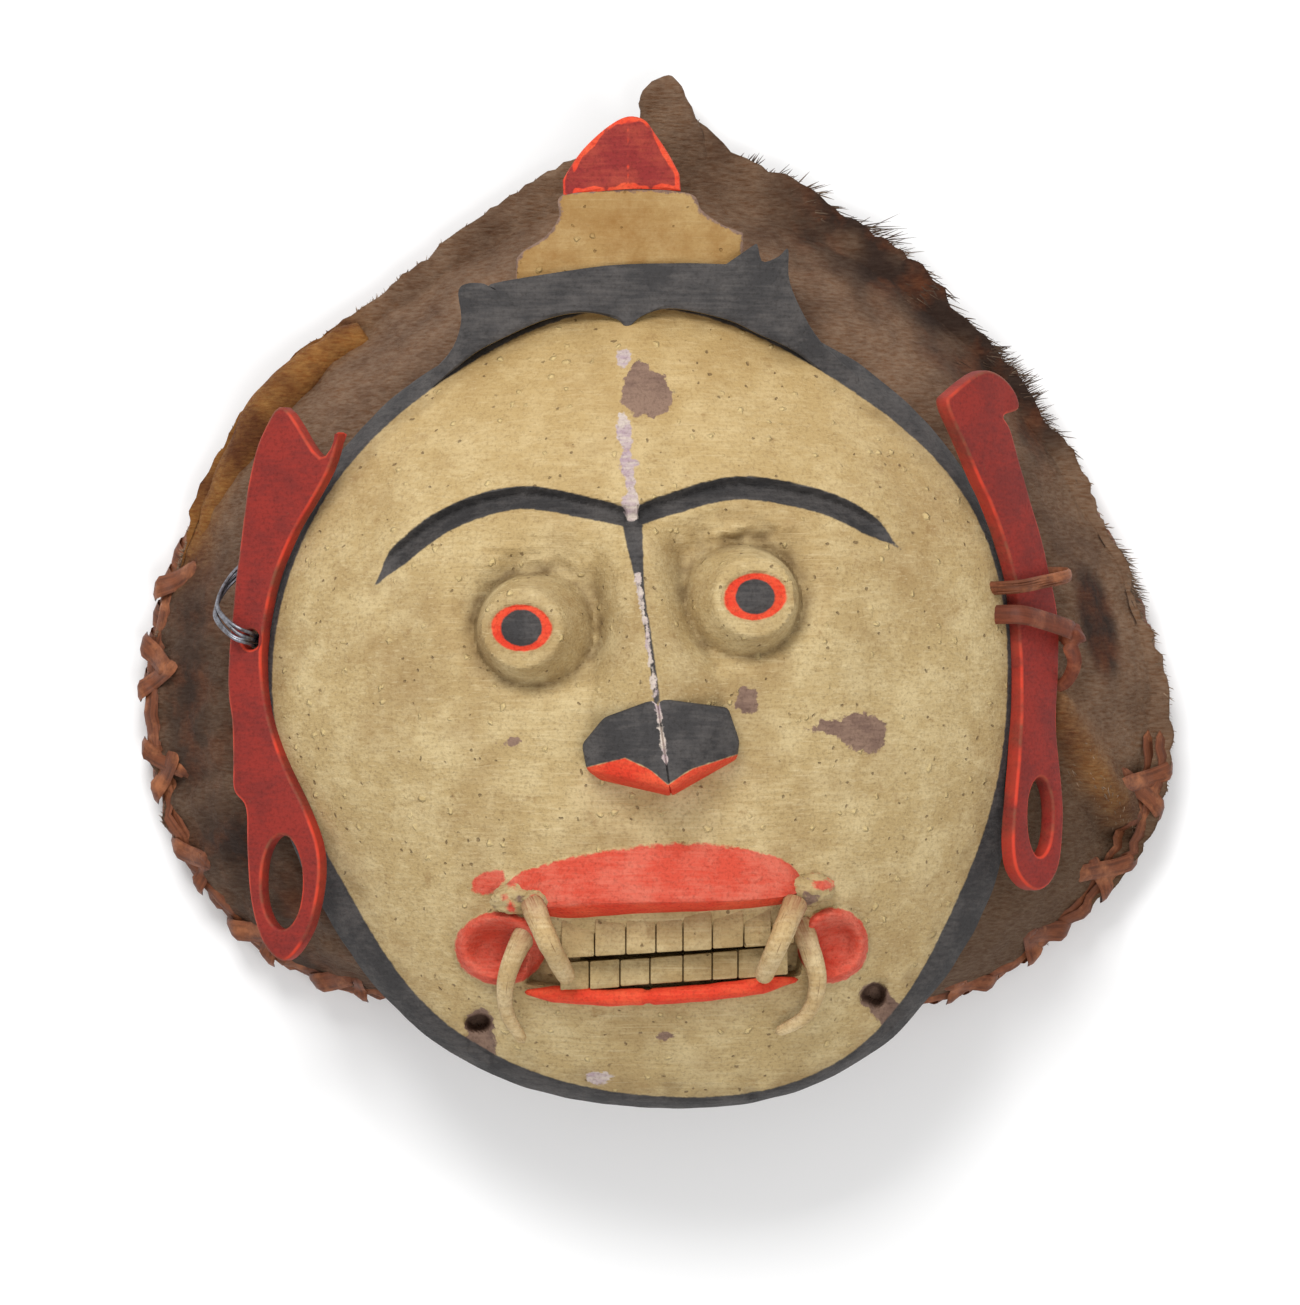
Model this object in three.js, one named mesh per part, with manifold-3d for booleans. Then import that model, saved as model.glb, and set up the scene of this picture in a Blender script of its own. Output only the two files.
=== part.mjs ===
// A hudoq spirit mask: a carved and painted wooden face with pegged tusks and two lashed ear boards,
// set on the front of a plaited rattan cap that is covered with hide and bound round its rim.
// Millimetres. The mask lies on its back on the floor at Z = 0: +Z comes out of the face and +Y runs
// to the crown.
// Every piece is drawn in the face's own frame, whose origin is the middle of the wooden shell's rear edge.
import * as THREE from "three";
import { mergeVertices } from "three/addons/utils/BufferGeometryUtils.js";
import { ConvexGeometry } from "three/addons/geometries/ConvexGeometry.js";
import Module from "manifold-3d";

const FACE_ORIGIN = [-5.5, -42.5, 64];
const FLOOR = -FACE_ORIGIN[2];
const GAP = 0.35; // left between pieces that touch
const TURN = Math.PI * 2;
const SECTIONS = 48; // facets round the shell and the cap

// Outlines round the face centre: radii at equal steps, counter-clockwise from +X
const PAINT_RADII = [126.5, 134, 133.5, 133, 131.5, 129, 124.5, 116.5, 125.5, 131, 138, 127];
const WOOD_RADII = [129, 137, 140.5, 140, 136, 133, 127.5, 126, 132, 134.5, 141, 136];
const CAP_TOP_RADII = [121, 129, 132, 132, 128, 125, 119.5, 116, 106, 104, 110, 126];
const RIM_RADII = [176, 166, 170, 176, 160, 162, 165, 151, 114, 108, 118, 157];
const HIDE_RADII = [
  179, 174, 174, 175, 182, 192, 197, 182, 169, 170, 170, 165,
  167, 165, 150, 130, 112, 106, 104, 108, 116, 138, 155, 174,
];

// Wooden shell
const DOME_RISE = 56; // of the dome above the edge of the pale field
const BEVEL_TOP = 16; // height of that edge above the rear edge
const WALL_TOP = 7; // height of the plain outer wall below the black bevel
const SHELL = 11;
const REAR_EDGE = 9;
const SOCKET = { depth: 6, wide: 33, tall: 25 };
const EYES = [[-34.5, 27], [35, 36.5]];
const EYE = { base: 20.5, top: 14.5, height: 12, iris: 9.2, recess: 1.8, pupil: 1.4, root: 9 };
const KEEL = { brow: [-1.7, 64.5, 1], crown: [-3, 130, 4], half: 9 };
const BRIDGE = { brow: [-1.7, 64, 1.5], nose: [6.7, 4, 14], narrow: 7, wide: 15 };
const BROW = { half: 4.2, tip: 1.4 };
const BROW_LINES = [
  [[-1.7, 65, 0], [-26, 71.3, 0], [-52.8, 69.6, 0], [-75, 57.5, 0], [-88, 43.3, 0]],
  [[-1.7, 65, 0], [21, 74, 0], [48, 74.8, 0], [71, 67, 0], [88, 56, 0]],
];
const MOUTH = { floor: -4, slit: 2.6, climb: 0.085 };
const MOUTH_CORNERS = [[-46, -78.5, 12, 10.5], [66, -77.5, 9, 10.5]]; // middle, half width and half height
const TOOTH = { pitch: 9.7, gap: 0.9, root: 8 };
const UPPER_TEETH = { count: 6, x: -9, y: -75, height: 11, proud: 3 };
const LOWER_TEETH = { count: 5, x: -3, y: -87, height: 9, proud: 0 };
const LIP_BAR = 3.6;
const TIE_HOLES = [[-53.5, -105], [80, -96]];
const TIE_HOLE = { radius: 4.4, length: 90, middle: 20 };

// Crown: height of the front of each step above the rear edge, and of its keel above that
const CROWN = { foot: [-3, 132], band: 22, block: 19, tip: 20, back: 5, keel: 4, lean: 0.06 };

// Tusks: the line each follows as [x, y, height above the dome], and its radius at the root and the tip
const CURVED = { root: 3.9, tip: 1.7 };
const STRAIGHT = { root: 3.8, tip: 2.9 };
const TUSKS = {
  tusk_left: {
    ...CURVED,
    line: [[-35, -71, -2], [-40, -79, 6], [-44, -90, 10], [-44, -101, 9], [-38, -112, 6]],
  },
  tusk_right: {
    ...CURVED,
    line: [[54, -69, -2], [58, -79, 6], [60.8, -91, 10], [57, -102, 9], [46.5, -108.5, 6]],
  },
  fang_left: { ...STRAIGHT, line: [[-36, -62, 7], [-29.6, -77, 18], [-23, -90, 8]] },
  fang_right: { ...STRAIGHT, line: [[54, -62, 7], [47.5, -77, 18], [42, -90, 8]] },
};

// Ear boards: outline in the board's own plane, measured from the middle of its inner edge
const EAR_THICKNESS = 6;
const EAR_LEFT = {
  place: [-125.5, 24.3, 17],
  tilt: -28,
  outline: [
    [8, 79], [22, 62], [29, 71], [25, 57], [12, 37], [4, 20], [-0.5, 0], [0.5, -20], [7, -40], [16, -57],
    [21.5, -71], [21.5, -84], [17, -99], [8.5, -108.5], [0, -103], [-5, -88], [-6.5, -71], [-7, -57],
    [-11.5, -51], [-12, -42], [-12.5, -27], [-14, -10], [-10, 27], [-5, 57], [0, 71],
  ],
  slot: [7.2, -82, 8, 16],
};
const EAR_RIGHT = {
  place: [127.5, 24.3, 17],
  tilt: 48,
  outline: [
    [-19, 91], [-33, 84], [-37, 79], [-27, 64], [-9, 37], [-1, 17], [0.5, 0], [1.5, -20], [-0.5, -47],
    [-3, -64], [-1, -78], [9.5, -85], [19.5, -79.5], [23.5, -64], [22.5, -47], [20, -27], [21.5, -3],
    [18.5, 17], [11, 37], [3.5, 54], [-4, 71], [-7.5, 76], [0, 78.5], [-1.5, 84], [-9, 89.5],
  ],
  slot: [11.4, -60, 6.6, 13.5],
};
const WIRE_HOLE = [-5, 0.3, 3.4, 3.4];

// Lashings: closed lines through the shell's wall and round the ear boards, with half width and thickness
const LASHINGS = {
  ear_wire: {
    half: [1.5, 1.5],
    line: [
      [-106, 41, 10], [-119.5, 50, 6], [-129, 51, 3], [-138.5, 45, 4.5], [-143, 35, 12], [-137, 27, 20],
      [-131, 24.6, 18.5], [-129, 24.6, 10], [-119, 26, 6],
    ],
  },
  rattan_tie: {
    half: [2.4, 1.3],
    line: [
      [107, 42, 13], [119, 42, 19], [129, 42.5, 24], [137, 44, 17], [146, 46, 8], [146, 47, 0.5],
      [138, 47, -2.5], [128, 46, 2.5], [115, 44, 6],
    ],
  },
  leather_strap: {
    half: [3.4, 0.9],
    line: [
      [107, 33, 13], [119, 33, 19], [130, 33, 24], [138.5, 31, 16], [147.5, 28, 6.5], [147.5, 27, -1],
      [139, 28, -3], [129, 30, 2.5], [115, 32, 6],
    ],
  },
};
const KNOT = { place: [148.5, 26, 2], size: [4.6, 5.6, 4.4] };

// Cap
const BASKET = 4; // thickness of the plaited wall
const HIDE = 2.6;
const RIM = { radius: 6, wraps: 36, swell: 0.12 };
const SLACK = 1.4; // between the hide and the basket
const CAP_TOP = -HIDE - SLACK - GAP;
const CAP_FOOT = FLOOR + 2 * RIM.radius + GAP;
const CAP_CURVE = 1.8; // how roundly the cap falls away from the face
const NUB = { line: [[8, 180, -40], [8, 203, -34], [6, 219, -35]], root: 10, tip: 7 };

const wasm = await Module();
wasm.setup();

function solid(geometry) {
  const bare = new THREE.BufferGeometry();
  bare.setAttribute("position", geometry.getAttribute("position"));
  bare.setIndex(geometry.getIndex());
  const merged = mergeVertices(bare, 1e-3);
  const vertProperties = new Float32Array(merged.getAttribute("position").array);
  const triVerts = new Uint32Array(merged.getIndex().array);
  return new wasm.Manifold(new wasm.Mesh({ numProp: 3, vertProperties, triVerts }));
}

function geometryOf(shape) {
  const mesh = shape.getMesh();
  const geometry = new THREE.BufferGeometry();
  geometry.setAttribute("position", new THREE.BufferAttribute(mesh.vertProperties, 3));
  geometry.setIndex(new THREE.BufferAttribute(mesh.triVerts, 1));
  return geometry;
}

const mix = (a, b, t) => a + (b - a) * t;
const clamp01 = (t) => Math.min(1, Math.max(0, t));
const smooth = (a, b, t) => {
  const s = clamp01((t - a) / (b - a));
  return s * s * (3 - 2 * s);
};
const vector = (p) => new THREE.Vector3(...p);
const polar = (r, angle, z) => new THREE.Vector3(r * Math.cos(angle), r * Math.sin(angle), z);
const hull = (points) => solid(new ConvexGeometry(points));
const union = (first, ...rest) => rest.reduce((sum, next) => sum.add(next), first);
const cut = (first, ...tools) => tools.reduce((left, tool) => left.subtract(tool), first);

// A closed outline as a function of the angle, smooth through the given radii.
function outline(radii) {
  const n = radii.length;
  return (angle) => {
    const at = ((((angle / TURN) % 1) + 1) % 1) * n;
    const i = Math.floor(at);
    const t = at - i;
    const [a, b, c, d] = [n - 1, 0, 1, 2].map((k) => radii[(i + k) % n]);
    return b + 0.5 * t * (c - a + t * (2 * a - 5 * b + 4 * c - d + t * (3 * (b - c) + d - a)));
  };
}
const paintEdge = outline(PAINT_RADII);
const woodEdge = outline(WOOD_RADII);
const capTop = outline(CAP_TOP_RADII);
const rimLine = outline(RIM_RADII);
const hideEdge = outline(HIDE_RADII);

// Moves every vertex of a geometry laid out as a grid to place(share of the columns, row).
function mapGrid(geometry, columns, rows, place) {
  const position = geometry.getAttribute("position");
  for (let row = 0; row <= rows; row++) {
    for (let column = 0; column <= columns; column++) {
      const p = place((column / columns) % 1, row);
      position.setXYZ(row * (columns + 1) + column, p.x, p.y, p.z);
    }
  }
  return geometry;
}

// A closed ring whose surface is place(share of the way round, share of the section).
function ring(sections, sides, place) {
  const torus = new THREE.TorusGeometry(1, 0.5, sides, sections);
  return mapGrid(torus, sections, sides, (turn, row) => place(turn, (row / sides) % 1));
}

// A round bar with closed ends along a curve; its radius is a function of the share of its length.
function bar(curve, steps, sides, radius) {
  const geometry = new THREE.CylinderGeometry(1, 1, 1, sides, steps);
  const position = geometry.getAttribute("position");
  const up = new THREE.Vector3(0, 0, 1);
  for (let i = 0; i < position.count; i++) {
    const t = clamp01(0.5 - position.getY(i));
    const tangent = curve.getTangentAt(t);
    const side = new THREE.Vector3().crossVectors(up, tangent).normalize();
    const rise = new THREE.Vector3().crossVectors(tangent, side);
    const p = curve.getPointAt(t);
    p.addScaledVector(side, position.getX(i) * radius(t));
    p.addScaledVector(rise, position.getZ(i) * radius(t));
    position.setXYZ(i, p.x, p.y, p.z);
  }
  return solid(geometry);
}

// Height of the plain dome above the shell's rear edge.
const PAINT_MEAN = PAINT_RADII.reduce((sum, r) => sum + r, 0) / PAINT_RADII.length;
const SPHERE_R = (PAINT_MEAN ** 2 + DOME_RISE ** 2) / (2 * DOME_RISE);
function dome(x, y) {
  const reach = (PAINT_MEAN * Math.hypot(x, y)) / paintEdge(Math.atan2(y, x));
  return BEVEL_TOP + DOME_RISE - SPHERE_R + Math.sqrt(Math.max(0, SPHERE_R ** 2 - reach ** 2));
}
const onDome = ([x, y, rise]) => new THREE.Vector3(x, y, dome(x, y) + rise);

// The dome with the hollows carved round the eyes, under the brows.
function faceHeight(x, y) {
  return EYES.reduce((height, [eyeX, eyeY]) => {
    const reach = Math.hypot((x - eyeX) / SOCKET.wide, (y - eyeY) / SOCKET.tall);
    return height - SOCKET.depth * smooth(1, 0.45, reach);
  }, dome(x, y));
}

// The bowl of the face: front dome, black bevel, outer wall, flat rear edge and the wearer's hollow.
function shellBowl() {
  const front = [0.14, 0.26, 0.37, 0.48, 0.59, 0.7, 0.8, 0.9, 1];
  const hollow = [1, 0.8, 0.6, 0.3];
  const depth = dome(0, 0) - SHELL - SOCKET.depth;
  const mouthR = woodEdge(0) - REAR_EDGE;
  const hollowR = (mouthR ** 2 + depth ** 2) / (2 * depth);
  const rows = front.length + hollow.length + 3;
  const place = (turn, row) => {
    const angle = turn * TURN;
    const frontShare = [0, ...front][row];
    const hollowShare = [...hollow, 0][row - front.length - 3];
    if (frontShare !== undefined) {
      const p = polar(frontShare * paintEdge(angle), angle, 0);
      return p.setZ(faceHeight(p.x, p.y));
    }
    if (hollowShare !== undefined) {
      const inner = (woodEdge(angle) - REAR_EDGE) * hollowShare;
      return polar(inner, angle, depth - hollowR + Math.sqrt(hollowR ** 2 - (hollowShare * mouthR) ** 2));
    }
    return polar(woodEdge(angle), angle, row === front.length + 1 ? WALL_TOP : 0);
  };
  return solid(mapGrid(new THREE.SphereGeometry(1, SECTIONS, rows), SECTIONS, rows, place));
}

// A boss with a sunken pupil, standing square to the dome.
function eyeBoss([x, y]) {
  const rimZ = EYE.height + 0.6;
  const profile = [
    [0, -EYE.root], [EYE.base, -EYE.root], [EYE.base, 0], [EYE.top, EYE.height], [EYE.iris + 0.8, rimZ],
    [EYE.iris, rimZ - EYE.recess], [0, rimZ - EYE.recess + EYE.pupil],
  ].map(([r, z]) => new THREE.Vector2(r, z));
  const step = 1;
  const fallX = dome(x - step, y) - dome(x + step, y);
  const fallY = dome(x, y - step) - dome(x, y + step);
  const normal = new THREE.Vector3(fallX, fallY, 2 * step).normalize();
  const boss = new THREE.LatheGeometry(profile, 16);
  boss.applyQuaternion(new THREE.Quaternion().setFromUnitVectors(new THREE.Vector3(0, 1, 0), normal));
  boss.translate(x, y, faceHeight(x, y));
  return solid(boss);
}

// The incised brow line: a V-shaped groove that tapers at its outer end.
function browGroove(line) {
  const curve = new THREE.CatmullRomCurve3(line.map(onDome));
  return bar(curve, 12, 4, (t) => mix(BROW.half, BROW.tip, smooth(0.7, 1, t)));
}

// A ridge with a sharp edge, drawn as a wedge whose foot is sunk in the dome.
function ridge(top, foot, halfTop, halfFoot) {
  const sunk = -6;
  const sides = [[top, halfTop], [foot, halfFoot]];
  const corners = sides.flatMap(([[x, y], half]) => [[x - half, y, sunk], [x + half, y, sunk]]);
  return hull([top, foot, ...corners].map(onDome));
}

// The broad nose: two faceted halves that meet on the ridge and hang to a pointed tip.
function noseHalves() {
  const middle = [[6.7, 5, 15], [11, -25, 27], [11.5, -27.5, 4], [6.7, 8, -5], [11, -20, -6]];
  const left = [
    [-11, -1.5, 12.5], [-18.4, -10.5, 8], [-16.8, -19, 9], [-13, -22, -4], [-13, 2.5, -5], [-20.5, -10, -5],
  ];
  const right = [
    [30.5, 1.8, 12], [34.4, -9.5, 8], [33, -14, 9], [32, -17.5, -4], [32, 5.5, -5], [37, -9, -5],
  ];
  return [left, right].map((half) => hull([...middle, ...half].map(onDome)));
}

// The upper lip: a crescent that ramps up from the cheek to a straight overhanging edge.
function upperLip() {
  const ramp = [[-46, -61], [-39, -52], [-22, -47], [1, -43], [18, -42], [36, -44], [50, -49], [56, -57]];
  const edge = [[-40, -66.5, 7], [-12.5, -70, 10], [21, -68, 10], [51.5, -63.5, 8]];
  const underside = edge.map(([x, y]) => [x, y + 0.8, -7]);
  const skin = ramp.map(([x, y]) => [x, y, 0.4]);
  const root = ramp.map(([x, y]) => [x * 0.96, y - 3, -7]);
  return hull([...skin, ...edge, ...underside, ...root].map(onDome));
}

// The recess between the lips, the slit the wearer sees through, and the rows of square teeth beside it.
function mouthCavity() {
  const corners = [[-31, -69.5], [52, -63], [54, -87], [-36, -92]];
  return hull(corners.flatMap(([x, y]) => [onDome([x, y, MOUTH.floor]), onDome([x, y, 30])]));
}

function mouthSlit() {
  const ends = [[-16, -81.5], [41, -76.6]];
  const half = MOUTH.slit / 2;
  const edges = ends.flatMap(([x, y]) => [[x, y - half], [x, y + half]]);
  return hull(edges.flatMap(([x, y]) => [onDome([x, y, -40]), onDome([x, y, 20])]));
}

function teeth({ count, x: startX, y: startY, height, proud }) {
  const bottom = MOUTH.floor - TOOTH.root;
  return Array.from({ length: count }, (_, i) => {
    const x = startX + i * TOOTH.pitch;
    const y = startY + MOUTH.climb * (x - startX);
    const box = new THREE.BoxGeometry(TOOTH.pitch - TOOTH.gap, height, proud - bottom);
    box.rotateZ(MOUTH.climb);
    box.translate(x, y, dome(x, y) + (proud + bottom) / 2);
    return solid(box);
  });
}

function lowerLip() {
  const line = [[-39, -93, 0], [-18, -96, 1.6], [4, -97, 2], [30, -94.5, 2], [57, -89.5, 0.5]];
  return bar(new THREE.CatmullRomCurve3(line.map(onDome)), 7, 8, () => LIP_BAR);
}

// The cupped corner of the mouth: a raised oval rim round a hollow.
function mouthCorner([x, y, wide, tall]) {
  const centre = onDome([x, y, 0]);
  const rim = new THREE.TorusGeometry(1, 0.25, 6, 14);
  rim.scale(wide, tall, 14);
  rim.translate(centre.x, centre.y, centre.z);
  const cup = new THREE.SphereGeometry(1, 12, 6);
  cup.scale(wide * 0.9, tall * 0.9, 7);
  cup.translate(centre.x, centre.y, centre.z + 2);
  return { rim: solid(rim), cup: solid(cup) };
}

// One half of a crown step: its outline starts and ends on the keel, which stands proud of the rest.
function crownHalf(points, front) {
  const [footX, footY] = CROWN.foot;
  const shape = new THREE.Shape(points.map(([x, y]) => new THREE.Vector2(x, y)));
  const slab = new THREE.ExtrudeGeometry(shape, { depth: 1, bevelEnabled: false });
  const index = Array.from({ length: slab.getAttribute("position").count }, (_, i) => i);
  slab.setIndex(index);
  const position = slab.getAttribute("position");
  for (const i of index) {
    const [x, y, isFront] = [position.getX(i), position.getY(i), position.getZ(i) > 0.5];
    const z = isFront ? front - CROWN.lean * y + (x === 0 ? CROWN.keel : 0) : CROWN.back;
    position.setXYZ(i, footX + x, footY + y, z);
  }
  return solid(slab);
}

// The crown: a broad winged band, a stepped block above it and a pointed tip, each in two halves.
function crownSteps() {
  const steps = [
    [CROWN.band, [[0, -1], [-30, 4], [-56, -8], [-57, 8], [-55, 14], [-38, 13.5], [0, 20]]],
    [CROWN.band, [[0, -1], [24, 5], [48, -3], [62, -12], [55, 8], [54.5, 22], [40, 18.5], [0, 20]]],
    [CROWN.block, [[0, 16], [-38, 12], [-37, 21], [-30, 26], [-25, 34], [-22.5, 42], [0, 44]]],
    [CROWN.block, [[0, 16], [39.5, 17], [39.5, 28], [30, 34], [24, 39], [20, 44.5], [0, 44]]],
    [CROWN.tip, [[0, 43.5], [-22.5, 42], [-20, 51], [-13, 60], [-6, 67], [0, 69.5]]],
    [CROWN.tip, [[0, 43.5], [17.5, 44], [15.5, 53], [11, 62], [6, 67.5], [0, 69.5]]],
  ];
  return steps.map(([front, points]) => crownHalf(points, front));
}

function tieHole([x, y]) {
  const drill = new THREE.CylinderGeometry(TIE_HOLE.radius, TIE_HOLE.radius, TIE_HOLE.length, 14);
  drill.rotateX(TURN / 4);
  drill.translate(x, y, TIE_HOLE.middle);
  return solid(drill);
}

function tusk({ line, root, tip }, grow = 0) {
  return bar(new THREE.CatmullRomCurve3(line.map(onDome)), 8, 8, (t) => mix(root, tip, t ** 1.6) + grow);
}

function ellipse([x, y, wide, tall]) {
  const points = new THREE.EllipseCurve(x, y, wide, tall).getPoints(14);
  return new THREE.Path(points.slice(1));
}

// An ear board lying in its own plane, turned back about the line down its inner edge.
function earBoard({ place, tilt, outline: points, slot }, holes, grow = 0) {
  const board = new THREE.Shape(points.map(([x, y]) => new THREE.Vector2(x, y)));
  board.holes = [slot, ...holes].map(ellipse);
  const geometry = new THREE.ExtrudeGeometry(board, {
    depth: EAR_THICKNESS,
    bevelEnabled: grow > 0,
    bevelSize: grow,
    bevelThickness: grow,
    bevelSegments: 1,
  });
  geometry.setIndex(Array.from({ length: geometry.getAttribute("position").count }, (_, i) => i));
  geometry.translate(0, 0, -EAR_THICKNESS / 2);
  geometry.rotateY(THREE.MathUtils.degToRad(tilt));
  geometry.translate(...place);
  return solid(geometry);
}

// A closed lashing with a flat oval section that lies against what it binds.
function lashing({ half, line }, grow = 0) {
  const curve = new THREE.CatmullRomCurve3(line.map(vector), true, "centripetal");
  const middle = line.map(vector).reduce((sum, p) => sum.add(p)).divideScalar(line.length);
  const [wide, thick] = half.map((size) => size + grow);
  return solid(ring(24, 6, (turn, around) => {
    const centre = curve.getPointAt(turn);
    const tangent = curve.getTangentAt(turn);
    const out = centre.clone().sub(middle).normalize();
    const side = new THREE.Vector3().crossVectors(out, tangent).normalize();
    const rise = new THREE.Vector3().crossVectors(side, tangent);
    const angle = around * TURN;
    centre.addScaledVector(side, wide * Math.cos(angle));
    return centre.addScaledVector(rise, thick * Math.sin(angle));
  }));
}

function knot() {
  const lump = new THREE.SphereGeometry(1, 10, 6);
  lump.scale(...KNOT.size);
  lump.translate(...KNOT.place);
  return solid(lump);
}

// A point of the cap's wall: share 0 behind the face and 1 at the rim, moved outwards by lift.
function capPoint(angle, share, lift) {
  const run = rimLine(angle) - capTop(angle);
  const fall = CAP_TOP - CAP_FOOT;
  const normal = new THREE.Vector2(fall * CAP_CURVE * share ** (CAP_CURVE - 1), run).normalize();
  const radius = capTop(angle) + run * share + lift * normal.x;
  const z = CAP_TOP - fall * share ** CAP_CURVE + lift * normal.y;
  return polar(radius, angle, Math.max(z, CAP_FOOT));
}

// A closed band of the cap's wall between an inner and an outer face.
function capBand(shares, inner, outer, place) {
  const sides = shares.length * 2;
  return solid(ring(SECTIONS, sides, (turn, around) => {
    const k = Math.round(around * sides);
    const isOuter = k >= shares.length;
    const share = isOuter ? shares[sides - 1 - k] : shares[k];
    return place(turn * TURN, share, isOuter ? outer : inner);
  }));
}

function basket() {
  return capBand([0, 0.5, 0.8, 1], -BASKET, 0, capPoint);
}

// The hide is stretched over the basket, and its edge stands out past the rim where it is wide enough.
function hide() {
  const lowest = 0.95;
  const droop = -0.12;
  const cover = capBand([0, 0.25, 0.5, 0.8, 0.9, 1], SLACK, SLACK + HIDE, (angle, share, lift) => {
    const p = capPoint(angle, Math.min(share, lowest), lift);
    const reach = share < 1 ? 0 : Math.max(0, hideEdge(angle) - Math.hypot(p.x, p.y));
    return p.addScaledVector(polar(1, angle, droop), reach);
  });
  const stubLine = new THREE.CatmullRomCurve3(NUB.line.map(vector));
  return union(cover, bar(stubLine, 4, 8, (t) => mix(NUB.root, NUB.tip, t)));
}

// The bound rim: a hoop wound with strips, which swell and draw in by turns and lie flat on the floor.
function boundRim() {
  const sections = RIM.wraps * 2;
  const sides = 6;
  return solid(ring(sections, sides, (turn, around) => {
    const wrap = Math.round(turn * sections) % 2 ? 1 : 1 - RIM.swell;
    const angle = (around + 0.5 / sides - 0.25) * TURN;
    const flat = RIM.radius / Math.cos(TURN / 2 / sides);
    const across = Math.cos(angle) * flat * wrap;
    const z = Math.sin(angle) < 0 ? Math.sin(angle) * flat : Math.sin(angle) * flat * wrap;
    return polar(rimLine(turn * TURN) + across, turn * TURN, FLOOR + RIM.radius + z);
  }));
}

const earLeft = (grow) => earBoard(EAR_LEFT, [WIRE_HOLE], grow);
const earRight = (grow) => earBoard(EAR_RIGHT, [], grow);
const corners = MOUTH_CORNERS.map(mouthCorner);
const carved = union(
  shellBowl(),
  ridge(KEEL.brow, KEEL.crown, KEEL.half, KEEL.half),
  ridge(BRIDGE.brow, BRIDGE.nose, BRIDGE.narrow, BRIDGE.wide),
  ...EYES.map(eyeBoss),
  ...noseHalves(),
  upperLip(),
  ...crownSteps(),
  ...corners.map(({ rim }) => rim),
);
const hollows = [mouthCavity(), ...corners.map(({ cup }) => cup), ...BROW_LINES.map(browGroove)];
const toothed = union(cut(carved, ...hollows), ...teeth(UPPER_TEETH), ...teeth(LOWER_TEETH), lowerLip());
const face = cut(
  toothed,
  mouthSlit(),
  ...TIE_HOLES.map(tieHole),
  ...Object.values(TUSKS).map((shape) => tusk(shape, GAP)),
  ...Object.values(LASHINGS).map((shape) => lashing(shape, 2 * GAP)),
  earLeft(GAP),
  earRight(GAP),
);

const paint = (name, color, roughness, metalness = 0) =>
  new THREE.MeshStandardMaterial({ name, color, roughness, metalness });
const PALE_WOOD = paint("painted_wood", 0xb89c6c, 0.8);
const RED_WOOD = paint("red_wood", 0x8a3a2c, 0.8);
const TUSK_WOOD = paint("tusk_wood", 0xb39272, 0.7);
const WIRE = paint("wire", 0x8d8f96, 0.5, 0.8);
const RATTAN = paint("rattan", 0x74492f, 0.7);
const LEATHER = paint("leather", 0x6a4a34, 0.8);
const HIDE_SKIN = paint("hide", 0x766050, 0.9);

const pieces = [
  ["face", face, PALE_WOOD],
  ...Object.entries(TUSKS).map(([name, shape]) => [name, tusk(shape), TUSK_WOOD]),
  ["ear_left", earLeft(0), RED_WOOD],
  ["ear_right", earRight(0), RED_WOOD],
  ["ear_wire", lashing(LASHINGS.ear_wire), WIRE],
  ["rattan_tie", lashing(LASHINGS.rattan_tie), RATTAN],
  ["leather_strap", union(lashing(LASHINGS.leather_strap), knot()), LEATHER],
  ["basket", basket(), RATTAN],
  ["hide_cover", hide(), HIDE_SKIN],
  ["bound_rim", boundRim(), RATTAN],
];

const mask = new THREE.Group();
mask.name = "hudoq_mask";
for (const [name, shape, material] of pieces) {
  const mesh = new THREE.Mesh(geometryOf(shape), material);
  mesh.name = name;
  mesh.position.set(...FACE_ORIGIN);
  mask.add(mesh);
}
export default mask;
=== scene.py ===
import math
import random

import bmesh
import bpy
import numpy as np
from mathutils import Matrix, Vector, noise


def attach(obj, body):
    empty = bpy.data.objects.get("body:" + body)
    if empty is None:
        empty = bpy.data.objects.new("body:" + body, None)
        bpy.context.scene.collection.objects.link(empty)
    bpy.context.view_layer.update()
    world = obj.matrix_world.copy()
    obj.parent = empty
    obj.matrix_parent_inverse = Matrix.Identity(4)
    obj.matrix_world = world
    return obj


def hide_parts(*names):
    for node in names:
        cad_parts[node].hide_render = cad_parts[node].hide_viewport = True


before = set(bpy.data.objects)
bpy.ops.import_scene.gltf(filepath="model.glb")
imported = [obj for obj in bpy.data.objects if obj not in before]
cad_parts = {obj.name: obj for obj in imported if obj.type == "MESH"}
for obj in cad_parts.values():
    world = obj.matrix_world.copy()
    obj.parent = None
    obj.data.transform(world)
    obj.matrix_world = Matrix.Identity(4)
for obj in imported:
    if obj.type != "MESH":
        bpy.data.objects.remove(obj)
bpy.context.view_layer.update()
rng = random.Random(11)

# The face: one block of pale wood carved to a deep bowl and hollowed behind for the wearer's face.
# Its front is limewashed; brows, eyes, nose, lips and rim are cut in and painted black and red by hand.
# All lengths are millimetres from the middle of the shell's rear edge; put() moves them into the frame.

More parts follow.
